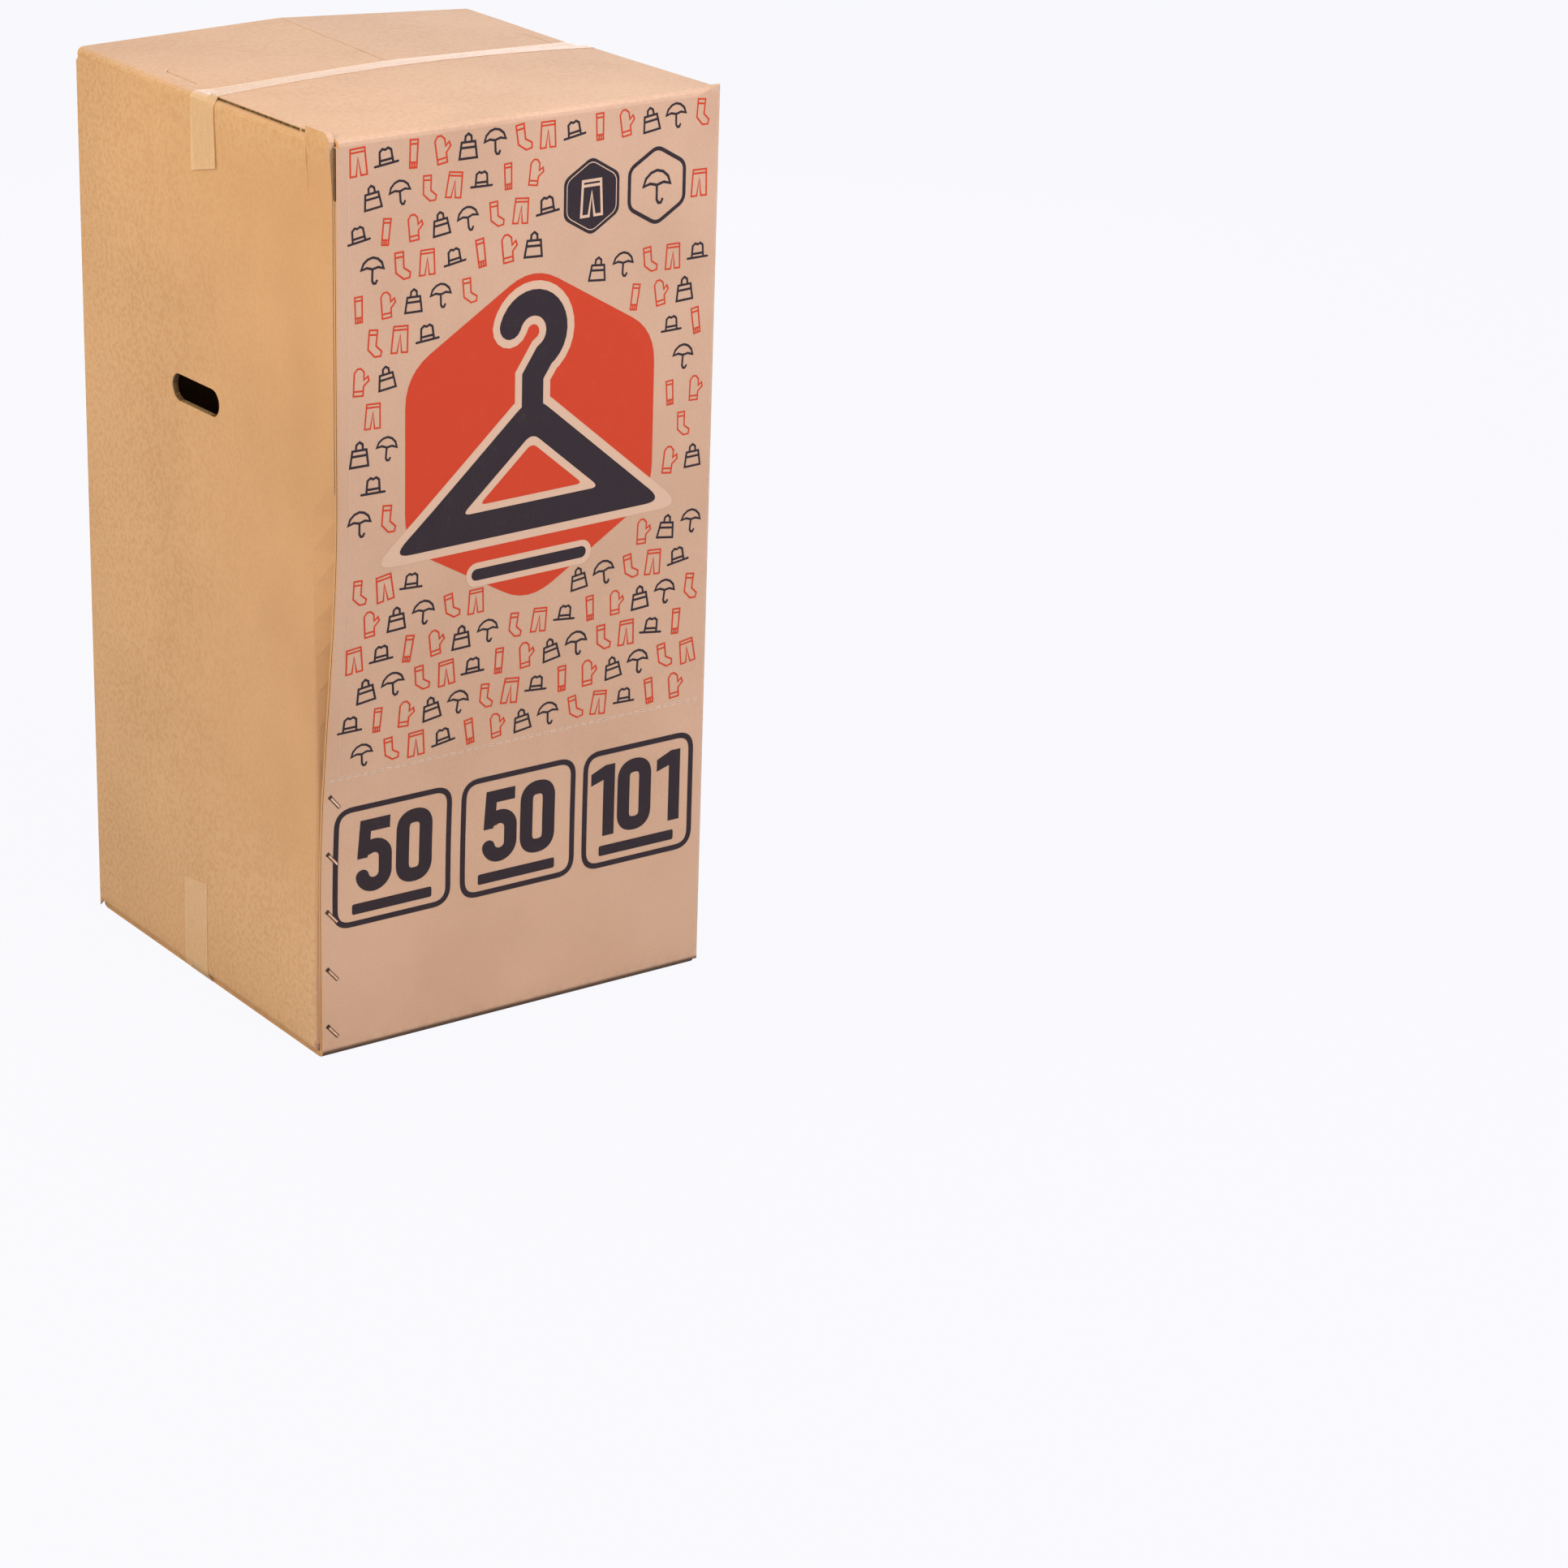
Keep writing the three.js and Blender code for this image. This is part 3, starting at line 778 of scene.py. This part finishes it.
@dataclass
class Pattern:
    """Staggered field of small motifs, copied onto points by a node tree."""

    motif_size: float = 13.8
    dark_line: float = 2.5
    red_line: float = 1.9
    across: float = 33.8
    up: float = 37.5
    rows: int = 18
    columns: int = 14
    left: float = -217.0
    top: float = 981.0
    turn: float = 0.16
    lift: float = 0.13
    seed: int = 7

    def blocked(self, x: float, z: float) -> bool:
        """Tell whether a point is kept free for the larger print.

        Args:
            x: Across.
            z: Up.

        Returns:
            True where no motif goes.
        """
        dx, dz = abs(x - PRINT_MIDDLE), abs(z - 662.0)
        in_hexagon = dx < 182 and dz < 204 - dx * 0.56
        in_emblem = 532 < z < 716 and dx < 1.25 * (716 - z) + 28
        in_badge = 24 < x < 222 and 852 < z < 968
        return in_hexagon or in_emblem or in_badge

    def spots(self) -> dict[Motif, list[tuple[float, float, float]]]:
        """Share the places out between the motifs.

        Returns:
            For each motif its points and turns.
        """
        chance = random.Random(self.seed)
        motifs = list(Motif)
        result: dict[Motif, list[tuple[float, float, float]]] = {motif: [] for motif in motifs}
        for row in range(self.rows):
            z = self.top - row * self.up
            shift = (row % 2) * self.across / 2
            for column in range(self.columns - row % 2):
                x = self.left + shift + column * self.across
                if not self.blocked(x, z):
                    motif = motifs[(column * 3 + row * 5) % len(motifs)]
                    result[motif].append((x, z, chance.uniform(-self.turn, self.turn)))
        return result

    def tree(self) -> bpy.types.NodeTree:
        """Build the tree that sets a drawing on each point.

        Returns:
            The node tree, with inputs Drawing and Ink.
        """
        tree = bpy.data.node_groups.new("motifs_on_points", "GeometryNodeTree")
        for name, way, kind in (
            ("Geometry", "INPUT", "Geometry"), ("Drawing", "INPUT", "Object"),
            ("Ink", "INPUT", "Material"), ("Geometry", "OUTPUT", "Geometry"),
        ):
            tree.interface.new_socket(name, in_out=way, socket_type=f"NodeSocket{kind}")
        new = tree.nodes.new
        start, end = new("NodeGroupInput"), new("NodeGroupOutput")
        info, copies = new("GeometryNodeObjectInfo"), new("GeometryNodeInstanceOnPoints")
        around, plain = new("ShaderNodeCombineXYZ"), new("GeometryNodeRealizeInstances")
        ink, turn = new("GeometryNodeSetMaterial"), new("GeometryNodeInputNamedAttribute")
        turn.inputs["Name"].default_value = "turn"
        size = new("FunctionNodeRandomValue")
        for key, value in (("Min", 0.95), ("Max", 1.05), ("Seed", self.seed)):
            size.inputs[key].default_value = value
        turn_out, size_out = (next(s for s in node.outputs if s.enabled) for node in (turn, size))
        for source, target in (
            (start.outputs["Geometry"], copies.inputs["Points"]),
            (start.outputs["Drawing"], info.inputs["Object"]),
            (info.outputs["Geometry"], copies.inputs["Instance"]),
            (turn_out, around.inputs[1]),
            (around.outputs[0], copies.inputs["Rotation"]),
            (size_out, copies.inputs["Scale"]),
            (copies.outputs[0], plain.inputs[0]),
            (plain.outputs[0], ink.inputs["Geometry"]),
            (start.outputs["Ink"], ink.inputs["Material"]),
            (ink.outputs[0], end.inputs[0]),
        ):
            tree.links.new(source, target)
        return tree

    def build(self, palette: Palette) -> None:
        """Print the field.

        Args:
            palette: The finishes.
        """
        tree = self.tree()
        sockets = tree.interface.items_tree
        keys = {item.name: item.identifier for item in sockets if item.in_out == "INPUT"}
        for number, (motif, spots) in enumerate(self.spots().items()):
            dark = number % 2 == 1
            finish = palette.charcoal if dark else palette.red
            drawing = Ink(f"drawing_{motif.name.lower()}", 0.0)
            size, width = self.motif_size, self.dark_line if dark else self.red_line
            for line in motif.value:
                drawing.stroke([(x * size, z * size) for x, z in line], width)
            source = bpy.data.objects.new("drawing", drawing.mesh())
            dots = bpy.data.meshes.new("dots")
            dots.from_pydata([(x * MM, 0.0, z * MM) for x, z, _ in spots], [], [])
            turns = dots.attributes.new("turn", "FLOAT", "POINT")
            turns.data.foreach_set("value", [spot[2] for spot in spots])
            field = put("field", dots)
            modifier = field.modifiers.new("copies", "NODES")
            modifier.node_group = tree
            modifier[keys["Drawing"]] = source
            modifier[keys["Ink"]] = finish
            bpy.context.view_layer.update()
            ready = field.evaluated_get(bpy.context.evaluated_depsgraph_get())
            mesh = bpy.data.meshes.new_from_object(ready)
            bpy.data.objects.remove(field)
            bpy.data.objects.remove(source)
            lay_on_front(mesh, self.lift)
            add_object(f"print_{motif.name.lower()}", mesh, finish)


class Digit(Enum):
    """Large figures, drawn about their middle and 84 mm high."""

    ZERO = "0"
    FIVE = "5"
    ONE = "1"

    def draw(self, ink: Ink, x: float, z: float) -> None:
        """Print the figure.

        Args:
            ink: The ink to add it to.
            x: Its middle, across.
            z: Its middle, up.
        """
        width = 16.2
        if self is Digit.ZERO:
            box = [(x - 14.4, z + 34.5), (x - 14.4, z - 34.5), (x + 14.4, z - 34.5), (x + 14.4, z + 34.5)]
            ink.stroke(rounded(box, 14.3, 10), width, closed=True)
        elif self is Digit.ONE:
            ink.fill([(x - 1.5, z - 42), (x + 13.5, z - 42), (x + 13.5, z + 42), (x + 1, z + 42),
                      (x - 18, z + 34), (x - 18, z + 20), (x - 1.5, z + 25)])
        else:
            ink.fill([(x - 18, z + 42), (x + 19, z + 42), (x + 19, z + 27.5), (x - 4.5, z + 27.5),
                      (x - 5.2, z + 12), (x - 8, z - 2.5), (x - 20.5, z - 2.5)])
            top = [(x + 14.2 * math.cos(a), z - 3.5 + 13.6 * math.sin(a)) for a in np.linspace(2.1, 0, 12)]
            low = [(x + 14.2 * math.cos(a), z - 21 + 13.8 * math.sin(a)) for a in np.linspace(0, -2.95, 16)]
            ink.stroke(top + low, width)


@dataclass
class Artwork:
    """Large print of the front panel."""

    FULL_BADGE: ClassVar[float] = 77.5
    OPEN_BADGE: ClassVar[float] = 164.5

    palette: Palette

    def fields(self) -> None:
        """Print the large hexagon, the hanger over it and the bar below the hanger."""
        field = Ink("print_field", 0.12)
        field.fill(hexagon(PRINT_MIDDLE, 662.5, 163, 184, 36))
        field.build(self.palette.red)
        for name, lift, share, corner, hook, bar, finish in (
            ("print_halo", 0.19, 1.0, 34, 46, 27, self.palette.bare),
            ("print_emblem", 0.26, 0.87, 26, 28, 13, self.palette.charcoal),
            ("print_inner_halo", 0.33, 0.44, 12, 0, 0, self.palette.bare),
            ("print_inner_field", 0.40, 0.33, 9, 0, 0, self.palette.red),
        ):
            ink = Ink(name, lift)
            ink.fill(self.bow(share, corner))
            if hook:
                ink.stroke(self.hook(), hook)
                ink.stroke([(-66, 523), (72, 523)], bar)
            ink.build(finish)

    @staticmethod
    def bow(share: float, corner: float) -> list[Flat]:
        """Give the hanger's bow, shrunk towards the point as far from all three sides.

        Args:
            share: Its size, 1 for the outer rim.
            corner: Rounding of its corners.

        Returns:
            The outline.
        """
        middle = Vector((PRINT_MIDDLE, 624.0))
        corners = [(PRINT_MIDDLE, 722.0), (-204.0, 552.0), (210.0, 552.0)]
        return rounded([tuple(middle + (Vector(c) - middle) * share) for c in corners], corner, 8)

    @staticmethod
    def hook() -> list[Flat]:
        """Give the line of the hanger's hook.

        Returns:
            Its points.
        """
        x, height, radius = PRINT_MIDDLE, 776, 31
        turns = np.linspace(0.5, 4.4, 20)
        bend = [(x + radius * math.sin(t), height - radius * math.cos(t)) for t in turns]
        return [(x, 690.0), (x, 728.0)] + bend

    def badges(self) -> None:
        """Print the two small hexagons and their drawings."""
        dark = Ink("print_badges", 0.14)
        dark.fill(hexagon(self.FULL_BADGE, 909.5, 36.5, 41.5, 7))
        dark.stroke(hexagon(self.OPEN_BADGE, 910, 37, 41, 8), 4.3, closed=True)
        light = Ink("print_badge_drawing", 0.21)
        light.stroke(hexagon(self.FULL_BADGE, 909.5, 32.5, 37.2, 7), 1.0, closed=True)
        size, height = 19, 908
        for ink, middle, motif in (
            (light, self.FULL_BADGE, Motif.TROUSERS), (dark, self.OPEN_BADGE, Motif.UMBRELLA),
        ):
            for line in motif.value:
                ink.stroke([(middle + size * x, height + size * z) for x, z in line], 3.0)
        dark.build(self.palette.charcoal)
        light.build(self.palette.bare)

    def sizes(self) -> None:
        """Print the three frames with their figures and bars."""
        ink = Ink("print_sizes", 0.14)
        low, high, half = 148.5, 282, 3.2
        for left, right in ((-230, -83), (-71, 77), (87, 235)):
            box = [(left + half, high), (left + half, low), (right - half, low), (right - half, high)]
            ink.stroke(rounded(box, 19, 8), 2 * half, closed=True)
        low, high = 159, 171
        for left, right in ((-206, -107), (-48, 51), (110, 210)):
            ink.fill(rounded([(left, high), (left, low), (right, low), (right, high)], 2.6, 4))
        figures = (
            (Digit.FIVE, -179.5), (Digit.ZERO, -129.5), (Digit.FIVE, -21), (Digit.ZERO, 28),
            (Digit.ONE, 116), (Digit.ZERO, 156), (Digit.ONE, 204),
        )
        for digit, x in figures:
            digit.draw(ink, x, 224.5)
        ink.build(self.palette.charcoal)

    def build(self) -> None:
        """Print everything."""
        self.fields()
        self.badges()
        self.sizes()


class Cut(Enum):
    """How a raw edge runs against the flutes."""

    ACROSS = "across"
    ALONG = "along"


@dataclass
class RawEdge:
    """Liners and flutes that show where the board is cut."""

    LINER: ClassVar[float] = 0.7
    HOLLOW_LIFT: ClassVar[float] = 0.06
    FLUTE_LIFT: ClassVar[float] = 0.13
    LINER_LIFT: ClassVar[float] = 0.16
    COARSE: ClassVar[float] = 12.0
    FINE: ClassVar[float] = 3.0

    name: str
    line: list[Vector]
    inward: Vector
    outward: list[Vector]
    thick: Callable[[float], float]
    cut: Cut
    seed: int = 3

    def ribbon(self, low: Callable[[float], float], high: Callable[[float], float], lift: float,
               step: float) -> bpy.types.Mesh:
        """Lay one strip along the edge.

        Args:
            low: Depth of its outer side at a distance along the edge.
            high: Depth of its inner side.
            lift: Millimetres that it stands out.
            step: Distance between its points.

        Returns:
            The strip's mesh.
        """
        lengths = [0.0]
        for a, b in zip(self.line, self.line[1:]):
            lengths.append(lengths[-1] + (b - a).length)
        count = max(2, int(lengths[-1] / step))
        verts: list[Vector] = []
        for k in range(count + 1):
            at = lengths[-1] * k / count
            point, out = (self.along(values, lengths, at) for values in (self.line, self.outward))
            for value in (low(at), high(at)):
                verts.append(place(*(point + self.inward * value + out * lift)))
        faces = [(2 * k, 2 * k + 1, 2 * k + 3, 2 * k + 2) for k in range(count)]
        mesh = bpy.data.meshes.new(self.name)
        mesh.from_pydata(verts, [], faces)
        middle = mesh.polygons[len(faces) // 2]
        if middle.normal.dot(self.along(self.outward, lengths, lengths[-1] / 2)) < 0:
            mesh.flip_normals()
        return mesh

    @staticmethod
    def along(values: Sequence[Vector], lengths: Sequence[float], at: float) -> Vector:
        """Read a list of vectors at a distance.

        Args:
            values: One vector per point.
            lengths: Distance of each point.
            at: The distance.

        Returns:
            The vector there.
        """
        return Vector([float(np.interp(at, lengths, part)) for part in zip(*values)])

    def shade_line(self, palette: Palette, low: float, high: float) -> None:
        """Make only a dark line of painted shade, where the edge is pressed shut.

        Args:
            palette: The finishes.
            low: Depth of its outer side.
            high: Depth of its inner side.
        """
        line = self.ribbon(lambda s: low, lambda s: high, self.HOLLOW_LIFT, self.COARSE)
        add_object(self.name, line, palette.gap)

    def build(self, palette: Palette) -> None:
        """Make the dark hollow of painted shade, three liners and the flutes.

        Args:
            palette: The finishes.
        """
        chance = random.Random(self.seed)
        phase = chance.uniform(0, 6)
        inset = 0.25
        # painted shade: a dark strip where the flute cavities lie in shade
        hollow_shade = self.ribbon(
            lambda s: inset, lambda s: self.thick(s) - inset, self.HOLLOW_LIFT, self.COARSE,
        )
        add_object(f"{self.name}_hollow", hollow_shade, palette.hollow_shade)
        strips = []
        for share in (0.0, 0.5, 1.0):
            def low(s: float, share: float = share) -> float:
                wobble = 0.10 * math.sin(s * 0.31 + phase + share * 9)
                return (self.thick(s) - self.LINER) * share + (wobble if share == 0.5 else 0.0)
            strips.append(self.ribbon(
                low, lambda s, low=low: low(s) + self.LINER, self.LINER_LIFT, self.FINE,
            ))
        for share, period in ((0.0, 7.6), (0.5, 6.4)):
            def wave(s: float, share: float = share, period: float = period) -> float:
                half = (self.thick(s) - self.LINER) * 0.5
                if self.cut is Cut.ACROSS:
                    swing = math.sin(2 * math.pi * s / period + phase)
                else:
                    swing = 0.8 * math.sin(s / 23.0 + phase) + 0.2 * math.sin(s / 3.7)
                return 0.35 + (self.thick(s) - self.LINER) * share + half * (0.5 + 0.42 * swing)
            step = 0.9 if self.cut is Cut.ACROSS else self.FINE
            low_side, high_side = (lambda s, w=wave, d=d: w(s) + d for d in (-0.24, 0.24))
            strips.append(self.ribbon(low_side, high_side, self.FLUTE_LIFT, step))
        shape = bmesh.new()
        for strip in strips:
            shape.from_mesh(strip)
            bpy.data.meshes.remove(strip)
        mesh = bpy.data.meshes.new(self.name)
        shape.to_mesh(mesh)
        shape.free()
        add_object(self.name, mesh, palette.liner)


@dataclass
class Details:
    """Edges, cuts and lines of the board that are finer than the walls."""

    palette: Palette

    def front_edge(self) -> None:
        """Dress the raw left edge of the front panel."""

        def edge(name: str, heights: Sequence[float]) -> RawEdge:
            line = [Vector((FREE_EDGE, FRONT.y(FREE_EDGE, z), z)) for z in heights]
            out = [Vector((-1, 0, 0))] * len(line)
            return RawEdge(name, line, Vector((0, 1, 0)), out, lambda s: BOARD, Cut.ALONG)

        shut = 944.0
        low = [9.0] + [h for h in FRONT.heights[1:] if h < shut - 4]
        # painted shade: dark lines stand in for the crushed edge lying in shade
        edge("edge_front_panel_low", low + [shut]).shade_line(self.palette, 2.7, 3.6)
        high = [shut] + [h for h in FRONT.heights if h > shut + 2]
        edge("edge_front_panel_outer", high).shade_line(self.palette, 0.6, 3.0)
        edge("edge_front_panel_inner", high).shade_line(self.palette, 3.5, 5.9)

    def flap_edges(self) -> None:
        """Dress the cut sides of the front top flap and its free edge."""

        def arch(x: float, v: float) -> float:
            return CREASE + 8.0 * ((v - 5) / 235) * (1 - (x / FRONT_RIGHT) ** 2)

        def thick(x: float) -> float:
            return PINCHED + (BOARD - PINCHED) * smooth(FRONT_RIGHT - abs(x), 0, 24)

        down = Vector((0, 0, -1))
        parts = (("near", (9.0, 20.0, 30.0, 46.0)), ("far", (46.0, 70.0, 130.0, 190.0, 249.5)))
        for name, x, start, out, slant in (
            ("left", FREE_EDGE, -HALF - TAB_REACH, -1.0, 3.0), ("right", FRONT_RIGHT, -HALF, 1.0, 0.0),
        ):
            for part, runs in parts:
                line = []
                for v in runs:
                    height = arch(x, v) if v > 10 else CREASE
                    line.append(Vector((x + slant * (1 - smooth(v, 48, 70)), start + v, height)))
                edge = RawEdge(f"edge_flap_{name}_{part}", line, down, [Vector((out, 0, 0))] * len(line),
                               lambda s, x=x: thick(x), Cut.ALONG, 5)
                if part == "near":
                    edge.build(self.palette)
                else:
                    # painted shade: the far parts are only dark lines
                    edge.shade_line(self.palette, 1.0, 3.4)
        columns = (FREE_EDGE, -236, -220, -180, -120, -60, 0, 60, 120, 180, 222, 238, FRONT_RIGHT)
        wide = FRONT_RIGHT - FREE_EDGE
        line = [Vector((x, TAB_REACH * (x - FREE_EDGE) / wide - TAB_REACH, arch(x, HALF))) for x in columns]
        RawEdge("edge_flap_free", line, down, [Vector((0, 1, 0))] * len(line),
                lambda s: thick(FREE_EDGE + s), Cut.ACROSS, 8).build(self.palette)

    def grips(self) -> None:
        """Dress the rims of the carrying holes."""
        radius, straight = 15.0, 35.0
        outline = []
        for middle, quarter in ((straight, -1), (-straight, 1)):
            turns = np.linspace(quarter * math.pi / 2, (quarter + 2) * math.pi / 2, 13)
            outline += [(middle + radius * math.cos(a), radius * math.sin(a)) for a in turns]
        outline.append(outline[0])
        for name, side in (("left", -1.0), ("right", 1.0)):
            line, out = [], []
            for a, b in outline:
                y, z = -1.0 + a, 677.0 + b
                line.append(Vector((left_x(y, z) if side < 0 else HALF, y, z)))
                core = Vector((0, a - max(-straight, min(straight, a)), b)).normalized()
                out.append(-core)
            RawEdge(f"edge_grip_{name}", line, Vector((-side, 0, 0)), out,
                    lambda s: BOARD, Cut.ACROSS, 11).build(self.palette)

    def front_lines(self) -> None:
        """Draw the torn fibres along the perforation and the pressed line beside the tab."""
        fibres = Ink("perforation_fibres", 0.15)
        chance = random.Random(4)
        x, pitch, half, width = FREE_EDGE + 8, 10, 3.0, 0.8
        while x < FRONT_RIGHT - 2 * half:
            for side in (-1, 1):
                height = PERFORATION + side * chance.uniform(0.68, 0.82)
                fibres.stroke([(x - half, height), (x + half, height + chance.uniform(-0.1, 0.1))], width)
            x += pitch
        fibres.build(self.palette.pale)
        score = Ink("score_line", 0.10)
        score.stroke([(-228.5, 324), (-228.5, 994)], width)
        score.build(self.palette.bare)

    def paint_staple_shadows(self) -> None:
        """Paint the shadow round each staple: a dark rim and a torn hole in shade."""
        shadow_ink = Ink("staple_rims", 0.08)
        turn = math.radians(STAPLE_TURN)
        along, across = Vector((math.cos(turn), -math.sin(turn))), Vector((math.sin(turn), math.cos(turn)))
        # painted shadow along each crown and painted shade in its hole
        rim, hole = (-9.6, 9.4, 2.1), (-11.6, -7.6, 2.5)
        for height in STAPLE_HEIGHTS:
            middle = Vector((STAPLE_X, height))
            for start, end, half in (rim, hole):
                corners = [middle + along * a + across * b
                           for a, b in ((start, -half), (end, -half), (end, half), (start, half))]
                shadow_ink.fill(rounded([tuple(c) for c in corners], 0.9, 3))
        shadow_ink.build(self.palette.gap)

    def build(self) -> None:
        """Make all of them."""
        self.front_edge()
        self.paint_staple_shadows()
        self.flap_edges()
        self.grips()
        self.front_lines()


def dress_nodes(nodes: dict[str, bpy.types.Object], palette: Palette) -> None:
    """Give each CAD node its finish.

    Args:
        nodes: The frame's nodes by name.
        palette: The finishes.
    """
    finishes = {
        "carton": palette.board, "top_tape": palette.tape, "bottom_tape": palette.tape,
        "clothes_rail": palette.steel,
    }
    for name, node in nodes.items():
        finish = finishes.get(name, palette.copper)
        if not node.material_slots:
            node.data.materials.append(finish)
        for slot in node.material_slots:
            slot.material = finish
        log.info("finish of %s: %s", name, finish.name)


@dataclass(frozen=True)
class Lamp:
    """One soft area light."""

    name: str
    at: tuple[float, float, float]
    aim: tuple[float, float, float]
    size: float
    power: float
    colour: Colour

    def build(self) -> None:
        """Hang the light."""
        data = bpy.data.lights.new(self.name, "AREA")
        data.shape = "DISK"
        data.size = self.size
        data.energy = self.power
        data.color = self.colour
        made = put(self.name, data)
        made.location = self.at
        made.rotation_euler = (Vector(self.aim) - Vector(self.at)).to_track_quat("-Z", "Y").to_euler()


class Studio:
    """Camera, pale floor and soft light."""

    FOCAL = 5090.7
    IMAGE = 1932
    SENSOR = 36.0
    YAW, PITCH, ROLL = 37.025, 21.039, 2.004
    AT = (-2282.8, -3759.2, 1884.6)

    def camera(self) -> None:
        """Set the camera at the photograph's viewing angle."""
        yaw, pitch, roll = (math.radians(v) for v in (self.YAW, self.PITCH, self.ROLL))
        flat, drop = math.cos(pitch), -math.sin(pitch)
        ahead = Vector((math.sin(yaw) * flat, math.cos(yaw) * flat, drop))
        level = Vector((math.cos(yaw), -math.sin(yaw), 0))
        upright = level.cross(ahead)
        right = math.cos(roll) * level + math.sin(roll) * upright
        up = -math.sin(roll) * level + math.cos(roll) * upright
        data = bpy.data.cameras.new("camera")
        data.sensor_width = self.SENSOR
        data.lens = self.FOCAL / self.IMAGE * self.SENSOR
        data.clip_end = 100.0
        made = put("camera", data)
        turn = Matrix((right, up, -ahead)).transposed().to_4x4()
        made.matrix_world = Matrix.Translation(place(*self.AT)) @ turn
        bpy.context.scene.camera = made

    def floor(self) -> None:
        """Lay the pale floor."""
        mesh = bpy.data.meshes.new("floor")
        side = 14.0
        corners = [(-side, -side, 0), (side, -side, 0), (side, side, 0), (-side, side, 0)]
        mesh.from_pydata(corners, [], [(0, 1, 2, 3)])
        shade = Shade("floor")
        grain = shade.noise(shade.position(), 3.0)
        pale = shade.mix(grain, (0.58, 0.57, 0.57), (0.62, 0.61, 0.61))
        matt = shade.surface(Base_Color=pale, Roughness=0.9, Specular_IOR_Level=0.1)
        glow = shade.node("ShaderNodeEmission")
        glow.inputs[0].default_value = (0.965, 0.965, 1.0, 1.0)
        seen = shade.call("ShaderNodeLightPath", {}, "Is Camera Ray") * 0.97
        blend = shade.node("ShaderNodeMixShader")
        shade.feed(blend.inputs[0], seen)
        join = shade.tree.links.new
        join(matt.outputs[0], blend.inputs[1])
        join(glow.outputs[0], blend.inputs[2])
        join(blend.outputs[0], shade.out.inputs[0])
        mesh.materials.append(shade.material)
        made = put("floor", mesh)

    def world(self) -> None:
        """Fill the room with even light and a white backdrop."""
        world = bpy.data.worlds.new("room")
        bpy.context.scene.world = world
        world.use_nodes = True
        tree = world.node_tree
        tree.nodes.clear()
        out = tree.nodes.new("ShaderNodeOutputWorld")
        soft, white = (tree.nodes.new("ShaderNodeBackground") for _ in range(2))
        soft.inputs[0].default_value = (0.97, 0.97, 1.0, 1.0)
        soft.inputs[1].default_value = 0.46
        white.inputs[0].default_value = (0.955, 0.955, 0.99, 1.0)
        path, blend = tree.nodes.new("ShaderNodeLightPath"), tree.nodes.new("ShaderNodeMixShader")
        join = tree.links.new
        join(path.outputs["Is Camera Ray"], blend.inputs[0])
        join(soft.outputs[0], blend.inputs[1])
        join(white.outputs[0], blend.inputs[2])
        join(blend.outputs[0], out.inputs[0])

    def build(self) -> None:
        """Set everything up."""
        self.camera()
        self.floor()
        self.world()
        aim = (0.0, 0.0, 0.5)
        for lamp in (
            Lamp("key", (1.0, -2.3, 2.8), (0.0, 0.0, 0.8), 1.7, 66.0, (0.98, 0.92, 1.0)),
            Lamp("side", (-2.4, -0.5, 2.15), aim, 1.2, 43.0, (1.0, 0.66, 0.13)),
            Lamp("top", (0.2, 0.6, 4.2), aim, 2.4, 17.0, (0.66, 0.83, 1.0)),
            Lamp("back", (2.3, 3.1, 1.3), aim, 2.0, 22.0, (0.94, 0.95, 1.0)),
        ):
            lamp.build()


def main() -> None:
    """Build the scene around the frame."""
    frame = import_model()
    palette = Palette()
    dress_nodes(frame["nodes"], palette)
    Artwork(palette).build()
    Pattern().build(palette)
    Details(palette).build()
    Studio().build()
    bpy.context.scene.view_settings.view_transform = "Standard"


if __name__ == "__main__":
    main()
